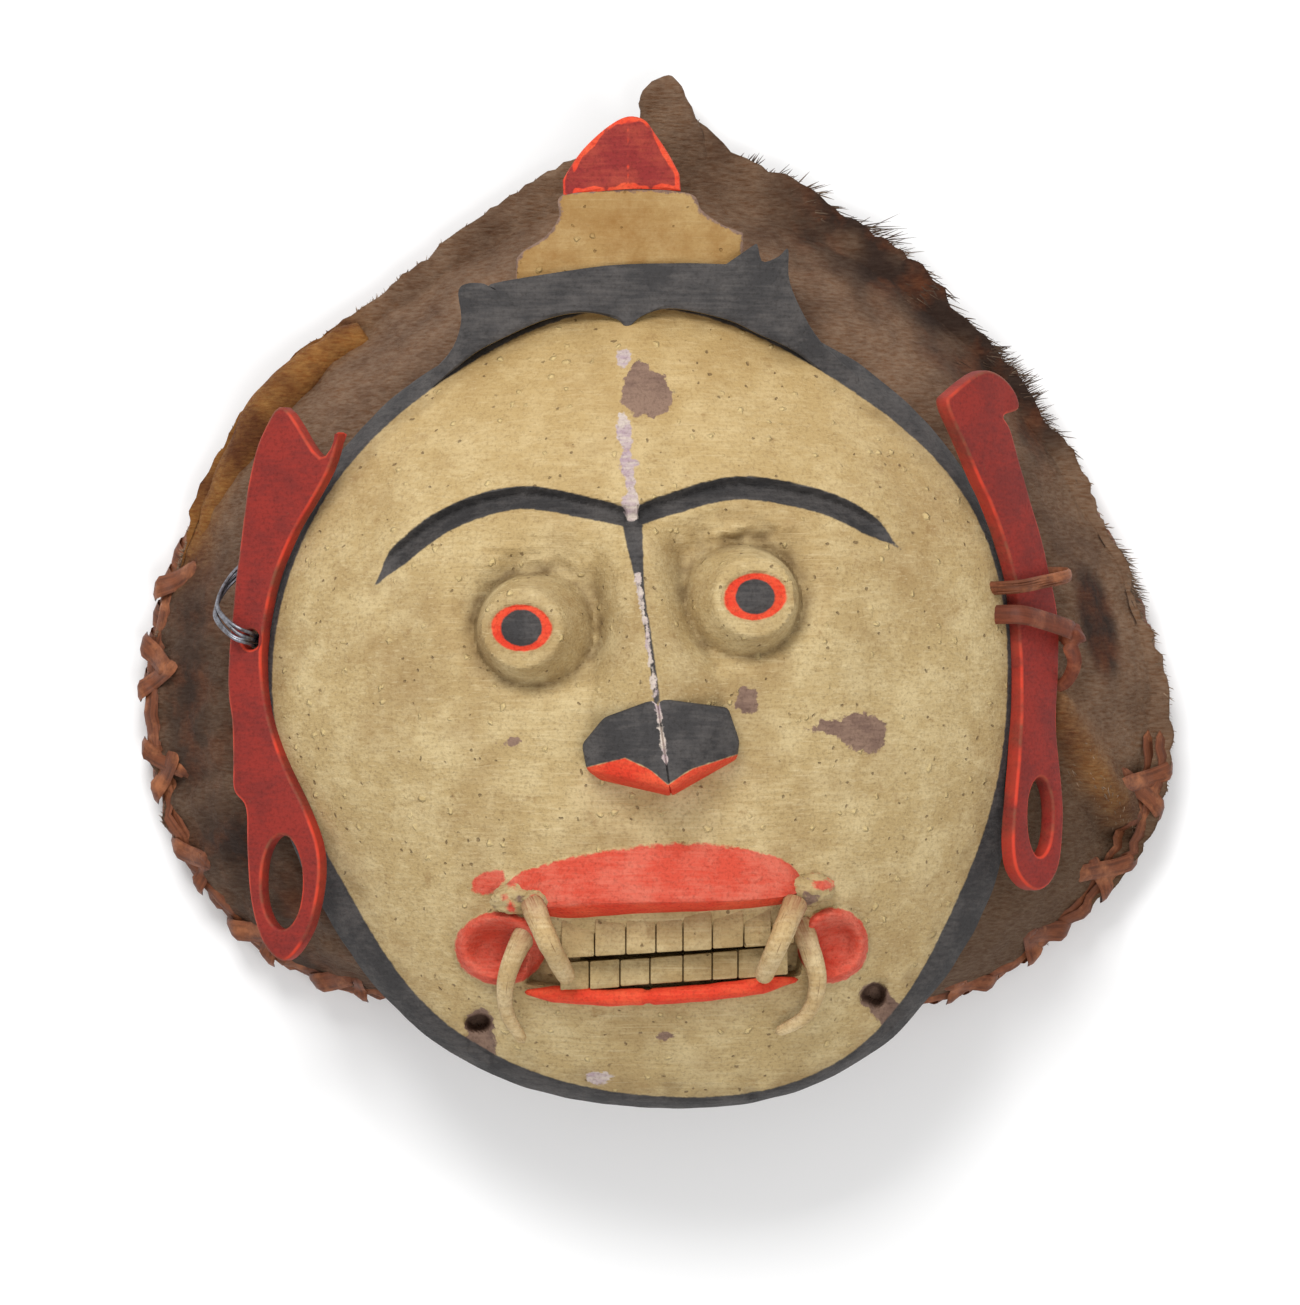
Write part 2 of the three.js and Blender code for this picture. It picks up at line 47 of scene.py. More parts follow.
FACE_AT = Vector((-5.5, -42.5, 64.0))
PAINT_RADII = (126.5, 134, 132.5, 138.5, 131.5, 129, 124.5, 116.5, 125.5, 131, 138, 127)
WOOD_RADII = (129, 137, 140.5, 140, 136, 133, 127.5, 126, 132, 134.5, 141, 136)
DOME_RISE, BEVEL_TOP, WALL_TOP, REAR_EDGE = 56.0, 16.0, 7.0, 9.0
SOCKET_DEPTH, SOCKET_WIDE, SOCKET_TALL = 10.5, 37.0, 31.0
HOLLOW_RISE = 55.0
EYE_LEFT = {"base": (-34.5, 27.0), "top": (-38.6, 28.4), "iris": (10.2, 7.8), "pupil": 6.9, "tilt": -0.06}
EYE_RIGHT = {"base": (35.0, 36.5), "top": (39.6, 38.9), "iris": (10.6, 7.8), "pupil": 6.6, "tilt": 0.12}
EYE_BASE, EYE_TOP, EYE_HEIGHT = 20.5, 13.6, 12.5
BROW_LEFT = ((-1.7, 65), (-14, 68.2), (-39, 72.3), (-62, 66), (-79, 54), (-89, 42))
BROW_RIGHT = ((-1.7, 65), (10, 69.6), (34, 75.6), (61, 71.3), (77, 64), (89, 55))
BROW_HALF, BROW_BED, BROW_DEPTH = 3.6, 1.5, 5.0
BRIDGE_TOP, BRIDGE_FOOT = (-1.7, 64.5), (6.7, 4.0)
BROW_SWELL, KEEL_SWELL, KEEL_WIDE = 2.6, 2.6, 13.0
BOSS_SUNK, IRIS_CUT, IRIS_CROWN, EYE_BLEND = 9.0, 1.5, 1.8, 0.6
CUP_LIP, CUP_DEPTH, MOUTH_DEPTH, SLIT_DEPTH = 5.0, 9.5, 8.0, 10.0
HOLE_DEPTH, HOLE_GROOVE = 13.0, 4.2


def ease(low, high, t):
    s = np.clip((t - low) / (high - low), 0.0, 1.0)
    return s * s * (3.0 - 2.0 * s)


def outline(radii):
    """A closed outline as radius by angle, smooth through radii at equal steps from +X."""
    radii = np.array(radii, float)

    def radius(angle):
        at = np.mod(np.asarray(angle, float) / math.tau, 1.0) * len(radii)
        i = np.floor(at).astype(int)
        t = at - i
        a, b, c, d = (radii[(i + k) % len(radii)] for k in (-1, 0, 1, 2))
        return b + 0.5 * t * (c - a + t * (2 * a - 5 * b + 4 * c - d + t * (3 * (b - c) + d - a)))

    return radius


def smooth_line(points, count, closed=False):
    """Points along a smooth curve through the given points."""
    p = np.array(points, float)
    p = np.vstack((p[-1], p, p[:2])) if closed else np.vstack((2 * p[0] - p[1], p, 2 * p[-1] - p[-2]))
    at = np.linspace(0.0, len(p) - 3 - 1e-9, count)
    i = at.astype(int)
    t = (at - i)[:, None]
    a, b, c, d = p[i], p[i + 1], p[i + 2], p[i + 3]
    return b + 0.5 * t * (c - a + t * (2 * a - 5 * b + 4 * c - d + t * (3 * (b - c) + d - a)))


def from_line(x, y, line):
    """Distance to a line of points, and the share of its length at the nearest place."""
    best = np.full(np.shape(x), 1e9)
    share = np.zeros(np.shape(x))
    for k in range(len(line) - 1):
        (ax, ay), (bx, by) = line[k][:2], line[k + 1][:2]
        run = (bx - ax) ** 2 + (by - ay) ** 2
        t = np.clip(((x - ax) * (bx - ax) + (y - ay) * (by - ay)) / run, 0.0, 1.0)
        gap = np.hypot(x - ax - t * (bx - ax), y - ay - t * (by - ay))
        share = np.where(gap < best, (k + t) / (len(line) - 1), share)
        best = np.minimum(gap, best)
    return best, share


def in_oval(x, y, cx, cy, wide, tall, turn=0.0):
    """1 on the edge of an oval, less inside it."""
    c, s = math.cos(turn), math.sin(turn)
    dx, dy = x - cx, y - cy
    return np.hypot((dx * c + dy * s) / wide, (dy * c - dx * s) / tall)


def lumps(x, y, size, seed):
    return np.array([noise.noise((px / size, py / size, seed)) for px, py in zip(x, y)])


paint_edge = outline(PAINT_RADII)
wood_edge = outline(WOOD_RADII)
PAINT_MEAN = sum(PAINT_RADII) / len(PAINT_RADII)
SPHERE = (PAINT_MEAN**2 + DOME_RISE**2) / (2 * DOME_RISE)


def dome(x, y):
    reach = PAINT_MEAN * np.hypot(x, y) / paint_edge(np.arctan2(y, x))
    return BEVEL_TOP + DOME_RISE - SPHERE + np.sqrt(np.maximum(0.0, SPHERE**2 - reach**2))


brow_lines = [smooth_line(points, 26) for points in (BROW_LEFT, BROW_RIGHT)]
brow_height = np.array(sorted((p for line in brow_lines for p in line), key=lambda p: p[0]))
bridge_line = smooth_line((BRIDGE_TOP, (1.0, 44.0), (4.4, 22.0), BRIDGE_FOOT), 12)
MOUTH = (
    (-33, -69), (-12, -71), (21, -69), (53, -63), (57, -78), (54, -88), (20, -93), (-20, -94.5), (-37, -91),
)
CUPS = ((-46.2, -79.5, 13.6, 11.2), (66.2, -78.5, 10.6, 11.4))
SLIT = ((-17, -82.4), (42, -77.2))
TIE_HOLES = ((-53.5, -105, -52, -121), (80, -96, 90, -107))


def in_mouth(x, y):
    """Depth inside the mouth's edge in mm, less than 0 outside."""
    depth = np.full(np.shape(x), 1e9)
    for (ax, ay), (bx, by) in zip(MOUTH, MOUTH[1:] + MOUTH[:1]):
        side = ((x - ax) * (by - ay) - (y - ay) * (bx - ax)) / math.hypot(bx - ax, by - ay)
        depth = np.minimum(depth, side)
    return depth


def carve(x, y):
    """Height of the carved front over the shell's rear edge."""
    z = dome(x, y)
    brow_gap = np.minimum(*(from_line(x, y, line)[0] for line in brow_lines))
    over_brow = y - np.interp(x, brow_height[:, 0], brow_height[:, 1])
    near_brow = ease(96, 78, np.abs(x))
    z = z + BROW_SWELL * near_brow * ease(-2, 3, over_brow) * ease(34, 6, over_brow)
    gap, share = from_line(x, y, bridge_line)
    for eye in (EYE_LEFT, EYE_RIGHT):
        hollow = in_oval(x, y, eye["base"][0] * 0.88, eye["base"][1] + 6, SOCKET_WIDE, SOCKET_TALL)
        inside = ease(1.0, 0.4, hollow) * ease(2, -9, over_brow)
        inside = inside * ease(3.0 + 5.0 * share, 13.0 + 9.0 * share, gap)
        z = z - SOCKET_DEPTH * inside
    z = z + KEEL_SWELL * np.maximum(0, 1 - np.abs(x + 2.2) / KEEL_WIDE) * ease(62, 72, y)
    width = 12.0 + 10.0 * share
    z = z + (4.0 + 11.5 * share) * np.maximum(0, 1 - gap / width) * ease(67, 58, y) * ease(-14, -4, y)
    for eye in (EYE_LEFT, EYE_RIGHT):
        (bx, by), (tx, ty) = eye["base"], eye["top"]
        lump = in_oval(x, y, bx, by + 22, 20, 8, eye["tilt"])
        gouges = lumps(x, y * 2.0, 8.0, tx) + 0.6 * lumps(x, y * 1.5, 4.0, ty)
        z = z + ease(1.3, 0.4, lump) * (1.6 + 2.4 * gouges)
        away = np.hypot(x - tx, y - ty) + 1e-6
        reach = EYE_BASE + ((x - tx) * (bx - tx) + (y - ty) * (by - ty)) / away
        fall = (away - EYE_TOP) / (reach - EYE_TOP)
        boss = dome(x, y) - BOSS_SUNK + (EYE_HEIGHT + 7.0) * np.clip(1 - np.maximum(fall, 0), 0, 1)
        boss = boss - 0.5 * ease(-0.14, 0.04, fall)
        iris = in_oval(x, y, tx, ty, *eye["iris"], eye["tilt"])
        boss = boss - IRIS_CUT * ease(1.1, 0.98, iris) + IRIS_CROWN * ease(0.98, 0.3, iris)
        z = np.where(fall < 1.3, np.logaddexp(z / EYE_BLEND, boss / EYE_BLEND) * EYE_BLEND, z)
    across = brow_gap * np.where(over_brow > 0, 1.0, -1.0)
    taper = np.max([
        ease(1.0, 0.75, from_line(x, y, line)[1]) * (np.sign(x - line[1][0]) == np.sign(line[-1][0]))
        for line in brow_lines
    ], axis=0)
    lower_wall = (across + BROW_HALF) / (BROW_HALF + BROW_BED)
    upper_wall = (BROW_HALF - across) / (BROW_HALF - BROW_BED)
    groove = np.minimum(lower_wall, upper_wall)
    z = z - BROW_DEPTH * np.clip(groove, 0, 1) * np.maximum(taper, 0.25)
    for cx, cy, wide, tall in CUPS:
        cup = in_oval(x, y, cx, cy, wide, tall)
        z = z + CUP_LIP * ease(1.2, 0.95, cup) - CUP_DEPTH * ease(0.92, 0.35, cup)
    z = z - MOUTH_DEPTH * ease(-1.5, 1.5, in_mouth(x, y))
    slit_gap, _ = from_line(x, y, SLIT)
    z = z - SLIT_DEPTH * ease(2.2, 0.7, slit_gap)
    stray = 1.6 * lumps(x, y, 5.0, 14.0)
    for hx, hy, ex, ey in TIE_HOLES:
        z = z - HOLE_DEPTH * ease(4.8, 2.4, np.hypot(x - hx, (y - hy) * 1.25) + stray)
        groove, along = from_line(x, y, ((hx, hy), (ex, ey)))
        z = z - HOLE_GROOVE * (1 - 0.3 * along) * ease(6.8, 1.0, groove + stray)
    z = z - 3.0 * ease(3.6, 0.5, np.hypot(x - 39, y + 130) + stray)
    return z + 0.55 * lumps(x, y, 26.0, 3.0) + 0.22 * lumps(x, y, 7.0, 9.0)


def only(kind, geom):
    """The vertices, edges or faces out of what a mesh operator gives back."""
    return [g for g in geom if isinstance(g, kind)]


FACE_FACETS = 250
bm = bmesh.new()
bm.loops.layers.uv.new("UVMap")
# dirt is an amount of darkening, not a distance: real grime and stains, and painted shade in hollows,
# grooves and gaps.
PAINTS = ("black", "red", "bright", "deep", "white", "bare", "dirt")
layer = {name: bm.verts.layers.float.new(name) for name in PAINTS}
FAR = 9.0


def paint(verts, **values):
    """Gives each vertex its distance in mm to the edge of each paint, less than 0 inside it."""
    for name in PAINTS:
        given = values.get(name, 0.0 if name == "dirt" else FAR)
        for v, value in zip(verts, np.broadcast_to(given, len(verts))):
            v[layer[name]] = value


front = bmesh.ops.create_grid(bm, x_segments=FACE_FACETS, y_segments=FACE_FACETS, size=1.0)["verts"]
u, v = np.array([p.co.xy for p in front]).T
disc_x, disc_y = u * np.sqrt(1 - v * v / 2), v * np.sqrt(1 - u * u / 2)
angle = np.arctan2(disc_y, disc_x)
share = np.minimum(1.0, np.hypot(disc_x, disc_y))
x, y = share * paint_edge(angle) * np.cos(angle), share * paint_edge(angle) * np.sin(angle)
z = carve(x, y)
for p, px, py, pz in zip(front, x, y, z):
    p.co = (px, py, pz)

# Painted shade: each point's depth below its blurred surroundings darkens the face's hollows, grooves and
# sockets, and a ring just outside each iris is a painted shadow line. The band near the rim and the loose
# clouds are real staining.
rows = (z - dome(x, y)).reshape(FACE_FACETS + 1, FACE_FACETS + 1)
blurred = rows.copy()
for turn_of_blur in range(90):
    padded = np.pad(blurred, 1, mode="edge")
    blurred = (padded[:-2, 1:-1] + padded[2:, 1:-1] + padded[1:-1, :-2] + padded[1:-1, 2:] + blurred) / 5
    if turn_of_blur == 14:
        near = blurred.copy()
to_rim = paint_edge(angle) * (1 - share)
iris_line = np.min([
    np.abs(in_oval(x, y, *eye["top"], *eye["iris"], eye["tilt"]) - 1.12) for eye in (EYE_LEFT, EYE_RIGHT)
], axis=0)
dirt = (near - rows).ravel() + 0.35 * (blurred - rows).ravel()
dirt = 0.75 * dirt + 2.0 * ease(0.09, 0.02, iris_line)
dirt = dirt + 1.5 * ease(9, 1, to_rim + 6 * lumps(x, y, 11.0, 2.0)) + 0.7 * lumps(x, y, 30.0, 6.0)

brow_black = np.minimum(*(
    gap - BROW_HALF * (0.85 + 0.25 * np.sin(along * math.pi)) * ease(1.02, 0.8, along)
    for gap, along in (from_line(x, y, line) for line in brow_lines)
))
nose_gap, nose_share = from_line(x, y, bridge_line)
nose_black = nose_gap - (3.2 - 2.2 * ease(0, 0.45, nose_share))
nose_black = np.maximum(nose_black, y - 63)
eye_black, eye_red = np.full(x.shape, FAR), np.full(x.shape, FAR)
for eye in (EYE_LEFT, EYE_RIGHT):
    iris = in_oval(x, y, *eye["top"], *eye["iris"], eye["tilt"])
    away = np.hypot(x - eye["top"][0], (y - eye["top"][1]) * 1.12)
    eye_red = np.minimum(eye_red, (iris - 1) * eye["iris"][1])
    eye_black = np.minimum(eye_black, away - eye["pupil"])
rim_black = to_rim - 1.2
cup_red = np.minimum(*((in_oval(x, y, *cup) - 1.12) * cup[3] for cup in CUPS))
smear = (in_oval(x, y, -50, -57, 6, 3.6, 0.5) - 1) * 3
black = np.min([brow_black, nose_black, eye_black, rim_black], axis=0)
red = np.minimum(cup_red, smear)
streak, streak_share = from_line(x, y, ((-4.5, 100), (-2.6, 84), (-1.8, 66)))
streak = streak - 1.2 - 1.6 * np.sin(streak_share * 9) ** 2 + 1.5 * lumps(x, y, 4.0, 5.0)
chip = (in_oval(x, y, -4.5, 120, 2.6, 3.4) - 1) * 3
nose_white, _ = from_line(x, y, ((0.0, 46.4), (3.4, 26), (6.0, 6.0)))
scuff = (in_oval(x, y, -13, -124, 4.5, 2.2) - 1) * 2.5
white = np.min([streak, chip, nose_white - 0.75, scuff], axis=0)
LOSSES = (
    (3.5, 107.5, 8.6, 8.2), (1, 112, 5, 6), (75, -6, 9, 6), (66, -4.5, 7, 2.4), (37, 4.5, 3.4, 5),
    (-42, -10, 2.4, 1.2), (7.8, -109.5, 2.6, 1.0), (79, -9, 4, 5),
)
ragged = 1.4 * lumps(x, y, 4.0, 21.0) + 0.9 * lumps(x, y, 1.8, 8.0)
bare = ragged + np.min([(in_oval(x, y, *loss) - 1) * min(loss[2:]) for loss in LOSSES], axis=0)
for hx, hy, ex, ey in TIE_HOLES:
    groove, _ = from_line(x, y, ((hx, hy), (ex, ey)))
    bare = np.minimum(bare, groove - 4.6)
paint(front, black=black, red=red, bright=eye_red, white=white, bare=bare, dirt=dirt)

mouth_r = WOOD_RADII[0] - REAR_EDGE
hollow_r = (mouth_r**2 + HOLLOW_RISE**2) / (2 * HOLLOW_RISE)
edges = [e for e in bm.edges if e.is_boundary]
RINGS = [("bevel", 0.5), ("bevel", 1.0), ("wall", 0.0), ("edge", 0.0)]
RINGS += [("hollow", s) for s in (0.96, 0.9, 0.8, 0.65, 0.5, 0.35, 0.2, 0.06)]
for kind, s in RINGS:
    grown = bmesh.ops.extrude_edge_only(bm, edges=edges)["geom"]
    ring = only(bmesh.types.BMVert, grown)
    edges = only(bmesh.types.BMEdge, grown)
    for p in ring:
        turn = math.atan2(p.co.y, p.co.x)
        inner, outer = float(paint_edge(turn)), float(wood_edge(turn))
        radius = {"bevel": inner + (outer - inner) * s, "wall": outer, "edge": outer - REAR_EDGE}.get(kind)
        height = BEVEL_TOP + (WALL_TOP - BEVEL_TOP) * s**1.4 if kind == "bevel" else 0.0
        if kind == "hollow":
            radius = (outer - REAR_EDGE) * s
            height = HOLLOW_RISE - hollow_r + math.sqrt(hollow_r**2 - (mouth_r * s) ** 2)
        wobble = 0.5 * noise.noise((12 * math.cos(turn), 12 * math.sin(turn), s)) if kind != "hollow" else 0
        p.co = ((radius + wobble) * math.cos(turn), (radius + wobble) * math.sin(turn), height)
    outside = kind in ("bevel", "wall")
    paint(ring, black=-FAR if outside else FAR, bare=FAR if outside else -FAR)
bmesh.ops.pointmerge(bm, verts=ring, merge_co=(0, 0, HOLLOW_RISE))
bmesh.ops.recalc_face_normals(bm, faces=bm.faces)


def add_patch(bm, across, along, place):
    """A skin of faces; place gives the point at a share across and a share along."""
    made = bmesh.ops.create_grid(bm, x_segments=across, y_segments=along, size=0.5, calc_uvs=True)["verts"]
    for p in made:
        p.co = place(p.co.x + 0.5, p.co.y + 0.5)
    return made


def add_rod(bm, line, radii, sides=10, flat=1.0, up=(0, 0, 1), closed=False):
    """A bar along a line of points; flat is its thickness along up as a share of its width."""
    line = np.asarray(line, float)
    radii = np.broadcast_to(radii, len(line))
    run = np.gradient(line, axis=0)
    if closed:
        run[0] = run[-1] = line[1] - line[-2]
    run /= np.linalg.norm(run, axis=1)[:, None]
    side = np.cross(run, up)
    side /= np.linalg.norm(side, axis=1)[:, None]
    rise = np.cross(side, run)
    last = len(line) - 1
    made = bmesh.ops.create_grid(bm, x_segments=sides, y_segments=last, size=0.5, calc_uvs=True)["verts"]
    for p in made:
        turn = -(p.co.x + 0.5) * math.tau
        k = round((p.co.y + 0.5) * last)
        p.co = line[k] + radii[k] * (math.cos(turn) * side[k] + flat * math.sin(turn) * rise[k])
    bmesh.ops.remove_doubles(bm, verts=made, dist=0.002)
    return [p for p in made if p.is_valid]


def rounded(count, root, tip, close=2):
    """Radii along a bar from root to tip, drawn in to nothing over the last few points of each end."""
    radii = np.linspace(root, tip, count)
    for k in range(close):
        draw = math.sqrt(1 - (1 - k / close) ** 2)
        radii[k] *= draw
        radii[-1 - k] *= draw
    return radii


# The nose: two flat-planed halves that meet in a ridge, black on top and red underneath.
# It is left standing in the face's own wood, so its mesh joins the face's.
NOSE_RIDGE, NOSE_TIP, NOSE_FOOT = (6.7, 5, 15), (11, -25, 25), (11.5, -28, 3)
NOSE_LEFT = ((-11, -1.5, 12.5), (-18.4, -10.5, 8), (-16.8, -19, 9), (-12.4, -22.5, 1), (-4, -15.5, 16.5))
NOSE_RIGHT = ((30.5, 1.8, 12), (34.4, -9.5, 8), (33, -14, 9), (33.6, -15.5, 1), (17.8, -19.5, 18.5))
NOSE_PAINT = ((-20, -19), (-4, -15), (4.4, -18.8), (10.4, -23.9), (17.8, -18.8), (36, -13.2))


def on_dome(point):
    return Vector((point[0], point[1], float(dome(point[0], point[1])) + point[2]))


nose_paint = np.array(NOSE_PAINT)
for wing in (NOSE_LEFT, NOSE_RIGHT):
    seen = [NOSE_RIDGE, NOSE_TIP, NOSE_FOOT, *wing]
    sunk = [(px, py, -6.0) for px, py, _ in seen]
    bulk = bmesh.new()
    for point in seen + sunk:
        bulk.verts.new(on_dome(point))
    hull = bmesh.ops.convex_hull(bulk, input=bulk.verts)
    bmesh.ops.delete(bulk, geom=only(bmesh.types.BMVert, hull["geom_interior"]), context="VERTS")
    bmesh.ops.dissolve_limit(bulk, angle_limit=0.12, verts=bulk.verts, edges=bulk.edges)
    bmesh.ops.bevel(bulk, geom=bulk.edges, offset=1.3, segments=2, profile=0.5, affect="EDGES", material=-1)
    bmesh.ops.triangulate(bulk, faces=bulk.faces)
    bmesh.ops.subdivide_edges(bulk, edges=bulk.edges, cuts=3, use_grid_fill=True)
    held = bpy.data.meshes.new("nose_wing")
    bulk.to_mesh(held)
    bulk.free()
    first = len(bm.verts)
    bm.from_mesh(held)
    bpy.data.meshes.remove(held)
    bm.verts.ensure_lookup_table()
    made = bm.verts[first:]
    px, py = np.array([p.co.xy for p in made]).T
    under = py - np.interp(px, nose_paint[:, 0], nose_paint[:, 1])
    stripe, _ = from_line(px, py, ((6.0, 7.0), (8.4, -8.0), (9.8, -17.0)))
    paint(made, black=-under + 0.1, bright=under, white=stripe - 0.7)

# The mouth: a full upper lip and a thin lower one, with two rows of square teeth between them.
# All of it is cut in the face's own wood; the lips are painted red and the teeth left with a thin wash.
LIP_TOP = ((-47, -60), (-39, -52.5), (-22, -47), (1, -43), (18, -42), (36, -44), (50, -49), (57, -57))
LIP_CREST = (
    (-46, -63.5), (-30.7, -65), (-16.8, -63.7), (12.8, -63), (32.4, -62.7), (49.2, -61.5), (57.5, -59),
)
LIP_UNDER = ((-45, -66), (-24, -69.8), (2.7, -68), (32.4, -66.6), (50.2, -64.7), (58, -61))
LOWER_LIP = ((-38, -94.2), (-18, -95.8), (3.7, -95.6), (30, -93.6), (54.5, -90))
UPPER_GAPS = (-25.5, -14.2, -3.7, 6.4, 15.5, 25.3, 35.9, 45.2, 53)
LOWER_GAPS = (-26, -16, -5.7, 4.4, 15.5, 25.3, 34, 43, 51)
LIP_RISE, CREST_SHARE = 10.5, 0.72
lip_lines = [smooth_line(points, 97) for points in (LIP_TOP, LIP_CREST, LIP_UNDER)]


def upper_lip(s, t):
    top, crest, under = (line[round(s * 96)] for line in lip_lines)
    ends = math.sin(math.pi * min(max(s, 0.02), 0.98)) ** 0.5
    if t < CREST_SHARE:
        k = t / CREST_SHARE
        px, py = top + (crest - top) * k
        rise = -1.0 + (LIP_RISE + 1.0) * k ** 0.75 * ends
    else:
        k = (t - CREST_SHARE) / (1 - CREST_SHARE)
        px, py = crest + (under - crest) * math.sin(k * math.pi / 2)
        rise = LIP_RISE * ends * math.cos(k * math.pi / 2) - 7.0 * k
    rough = 0.5 * noise.noise((px / 6, py / 6, 4.0))
    return on_dome((px, py, rise + rough))


def lip_bar(s):
    return 2.9 * min(1.0, 6 * s + 0.25, 6 * (1 - s) + 0.25)


lip = add_patch(bm, 96, 26, upper_lip)
over_lip = np.array([k // 97 / 26 for k in range(len(lip))])
lip_red = {"red": 0.9 - over_lip * 14, "bright": (CREST_SHARE + 0.02 - over_lip) * 14}
# The lowest strip of the upper lip's underside gets painted shade, under the lip's overhang.
paint(lip, **lip_red, dirt=np.where(over_lip > 0.9, 1.6, 0))
bar = np.array([on_dome((px, py, 2.6)) for px, py in smooth_line(LOWER_LIP, 80)])
share_along = np.linspace(0, 1, 80)
bar_radii = np.array([lip_bar(s) for s in share_along])
bar_radii *= 1 - 0.3 * np.exp(-((bar[:, 0] - 3.7) / 1.0) ** 2)
bar_radii[0] = bar_radii[-1] = 0
bar[:, 1] += [0.5 * noise.noise((px / 9, 0.3, 1.0)) for px in bar[:, 0]]
paint(add_rod(bm, bar, bar_radii, sides=14, flat=1.25), bright=-1.0)


def add_teeth(gaps, foot, crest, climb, lift):
    """A row of square teeth between the given gaps, from y foot to y crest, climbing to the right."""
    for left, right in zip(gaps, gaps[1:]):
        wide, tall = right - left - 0.3, crest - foot
        middle = (left + right) / 2
        rise = climb * middle
        tooth = bmesh.ops.create_cube(bm, size=1.0)["verts"]
        here = on_dome((middle, (foot + crest) / 2 + rise, lift + rng.uniform(-0.4, 0.4)))
        bmesh.ops.scale(bm, verts=tooth, vec=(wide, tall + rng.uniform(-0.5, 0.5), 13))
        for p in tooth:
            p.co.y += p.co.x * climb
        bmesh.ops.translate(bm, verts=tooth, vec=here - Vector((0, 0, 6.5)))
        edges = list(dict.fromkeys(e for p in tooth for e in p.link_edges))
        made = bmesh.ops.bevel(
            bm, geom=edges, offset=0.6, segments=2, profile=0.5, affect="EDGES", material=-1
        )["verts"]
        # Each tooth's sides get painted shade, darkening the gaps between the teeth.
        paint(made, bare=2.2, dirt=[1.2 if abs(p.co.x - middle) > wide / 2 - 0.7 else 0.25 for p in made])


add_teeth(UPPER_GAPS, -81.0, -66.6, 0.062, 1.6)
add_teeth(LOWER_GAPS, -92.0, -82.6, 0.075, 0.4)

# The wads: lumps of putty and old paint round the fangs, where they enter the upper lip.
# They were pressed on by hand when the fangs were set, and stay part of the face.
WADS = (
    ((-40, -62.5, 1.0), (9.5, 5.0, 6.0)),
    ((57.5, -59.5, 1.0), (9.0, 5.5, 6.0)),
    ((-34, -63.5, 3.0), (5.5, 4.0, 6.5)),
)
for at, size in WADS:
    wad = bmesh.ops.create_icosphere(bm, subdivisions=4, radius=1.0)["verts"]
    for p in wad:
        swell = 1 + 0.22 * noise.noise(p.co * 1.7 + Vector(at)) + 0.1 * noise.noise(p.co * 5.0)
        p.co = Vector(a * b for a, b in zip(p.co * swell, size)) + on_dome(at)
    blotch = np.array([noise.noise((p.co.x / 5, p.co.y / 5, 3.0)) for p in wad])
    paint(wad, red=2.5 * blotch + 0.5, bare=1.2 - 3.0 * blotch, dirt=0.8 + 1.5 * np.abs(blotch))

# The crown: a winged band, a stepped block and a pointed tip over the brow, each flat with a low keel.
# It is one with the face's wood, cut straight back at the sides, and painted black, pale and red.
CROWN_AT = (-3.0, 132.0)
CROWN_BACK, CROWN_KEEL, CROWN_LEAN = 5.0, 4.0, 0.06
BAND_LOW = (
    (-67, -22.5), (-61.6, -17.9), (-52.3, -10.4), (-43.9, -5.8), (-28, 1.2), (-15, 3.5), (-4, 1.2),
    (-0.3, -2.1), (3.5, 1.6), (14.6, 4.9), (33.2, 1.2), (44.4, -3.9), (55.5, -9), (64.8, -16), (78, -26),
)
BAND_HIGH = (
    (-67, -17), (-59.7, -8.6), (-56.6, 1), (-57.7, 10.4), (-55, 13.3), (-49, 13.3), (-46.3, 11.6),
    (-44.9, 13.6), (-15, 18.4), (0, 19.8), (20, 20.2), (39.7, 20.4), (43.4, 27), (45.5, 20.8), (51, 22.5),
    (54.3, 25), (54.6, 14.7), (59.2, 3.5), (65.8, -6.7), (78, -18),
)
BLOCK_LOW = ((-38.2, 14), (-19, 16), (0, 18), (20, 18.6), (39.3, 19))
BLOCK_HIGH = (
    (-38, 22), (-35, 25), (-28, 29.5), (-23.5, 36), (-22, 43.6), (0, 45.4), (20.6, 44), (24.9, 38.4),
    (31.4, 33.7), (39, 30.6),
)
TIP_LOW = ((-22, 43.2), (-10, 44.6), (0, 45.4), (9, 45.4), (17.8, 44.8))
TIP_HIGH = (
    (-22.2, 48.6), (-19, 54), (-14.2, 60.2), (-6.8, 66.7), (-0.3, 70), (5.3, 69), (9, 64.4), (13.7, 57.4),
    (17.4, 50.5),
)
WING_FALL, WING_START, WING_END = 8.0, 46.0, 76.0


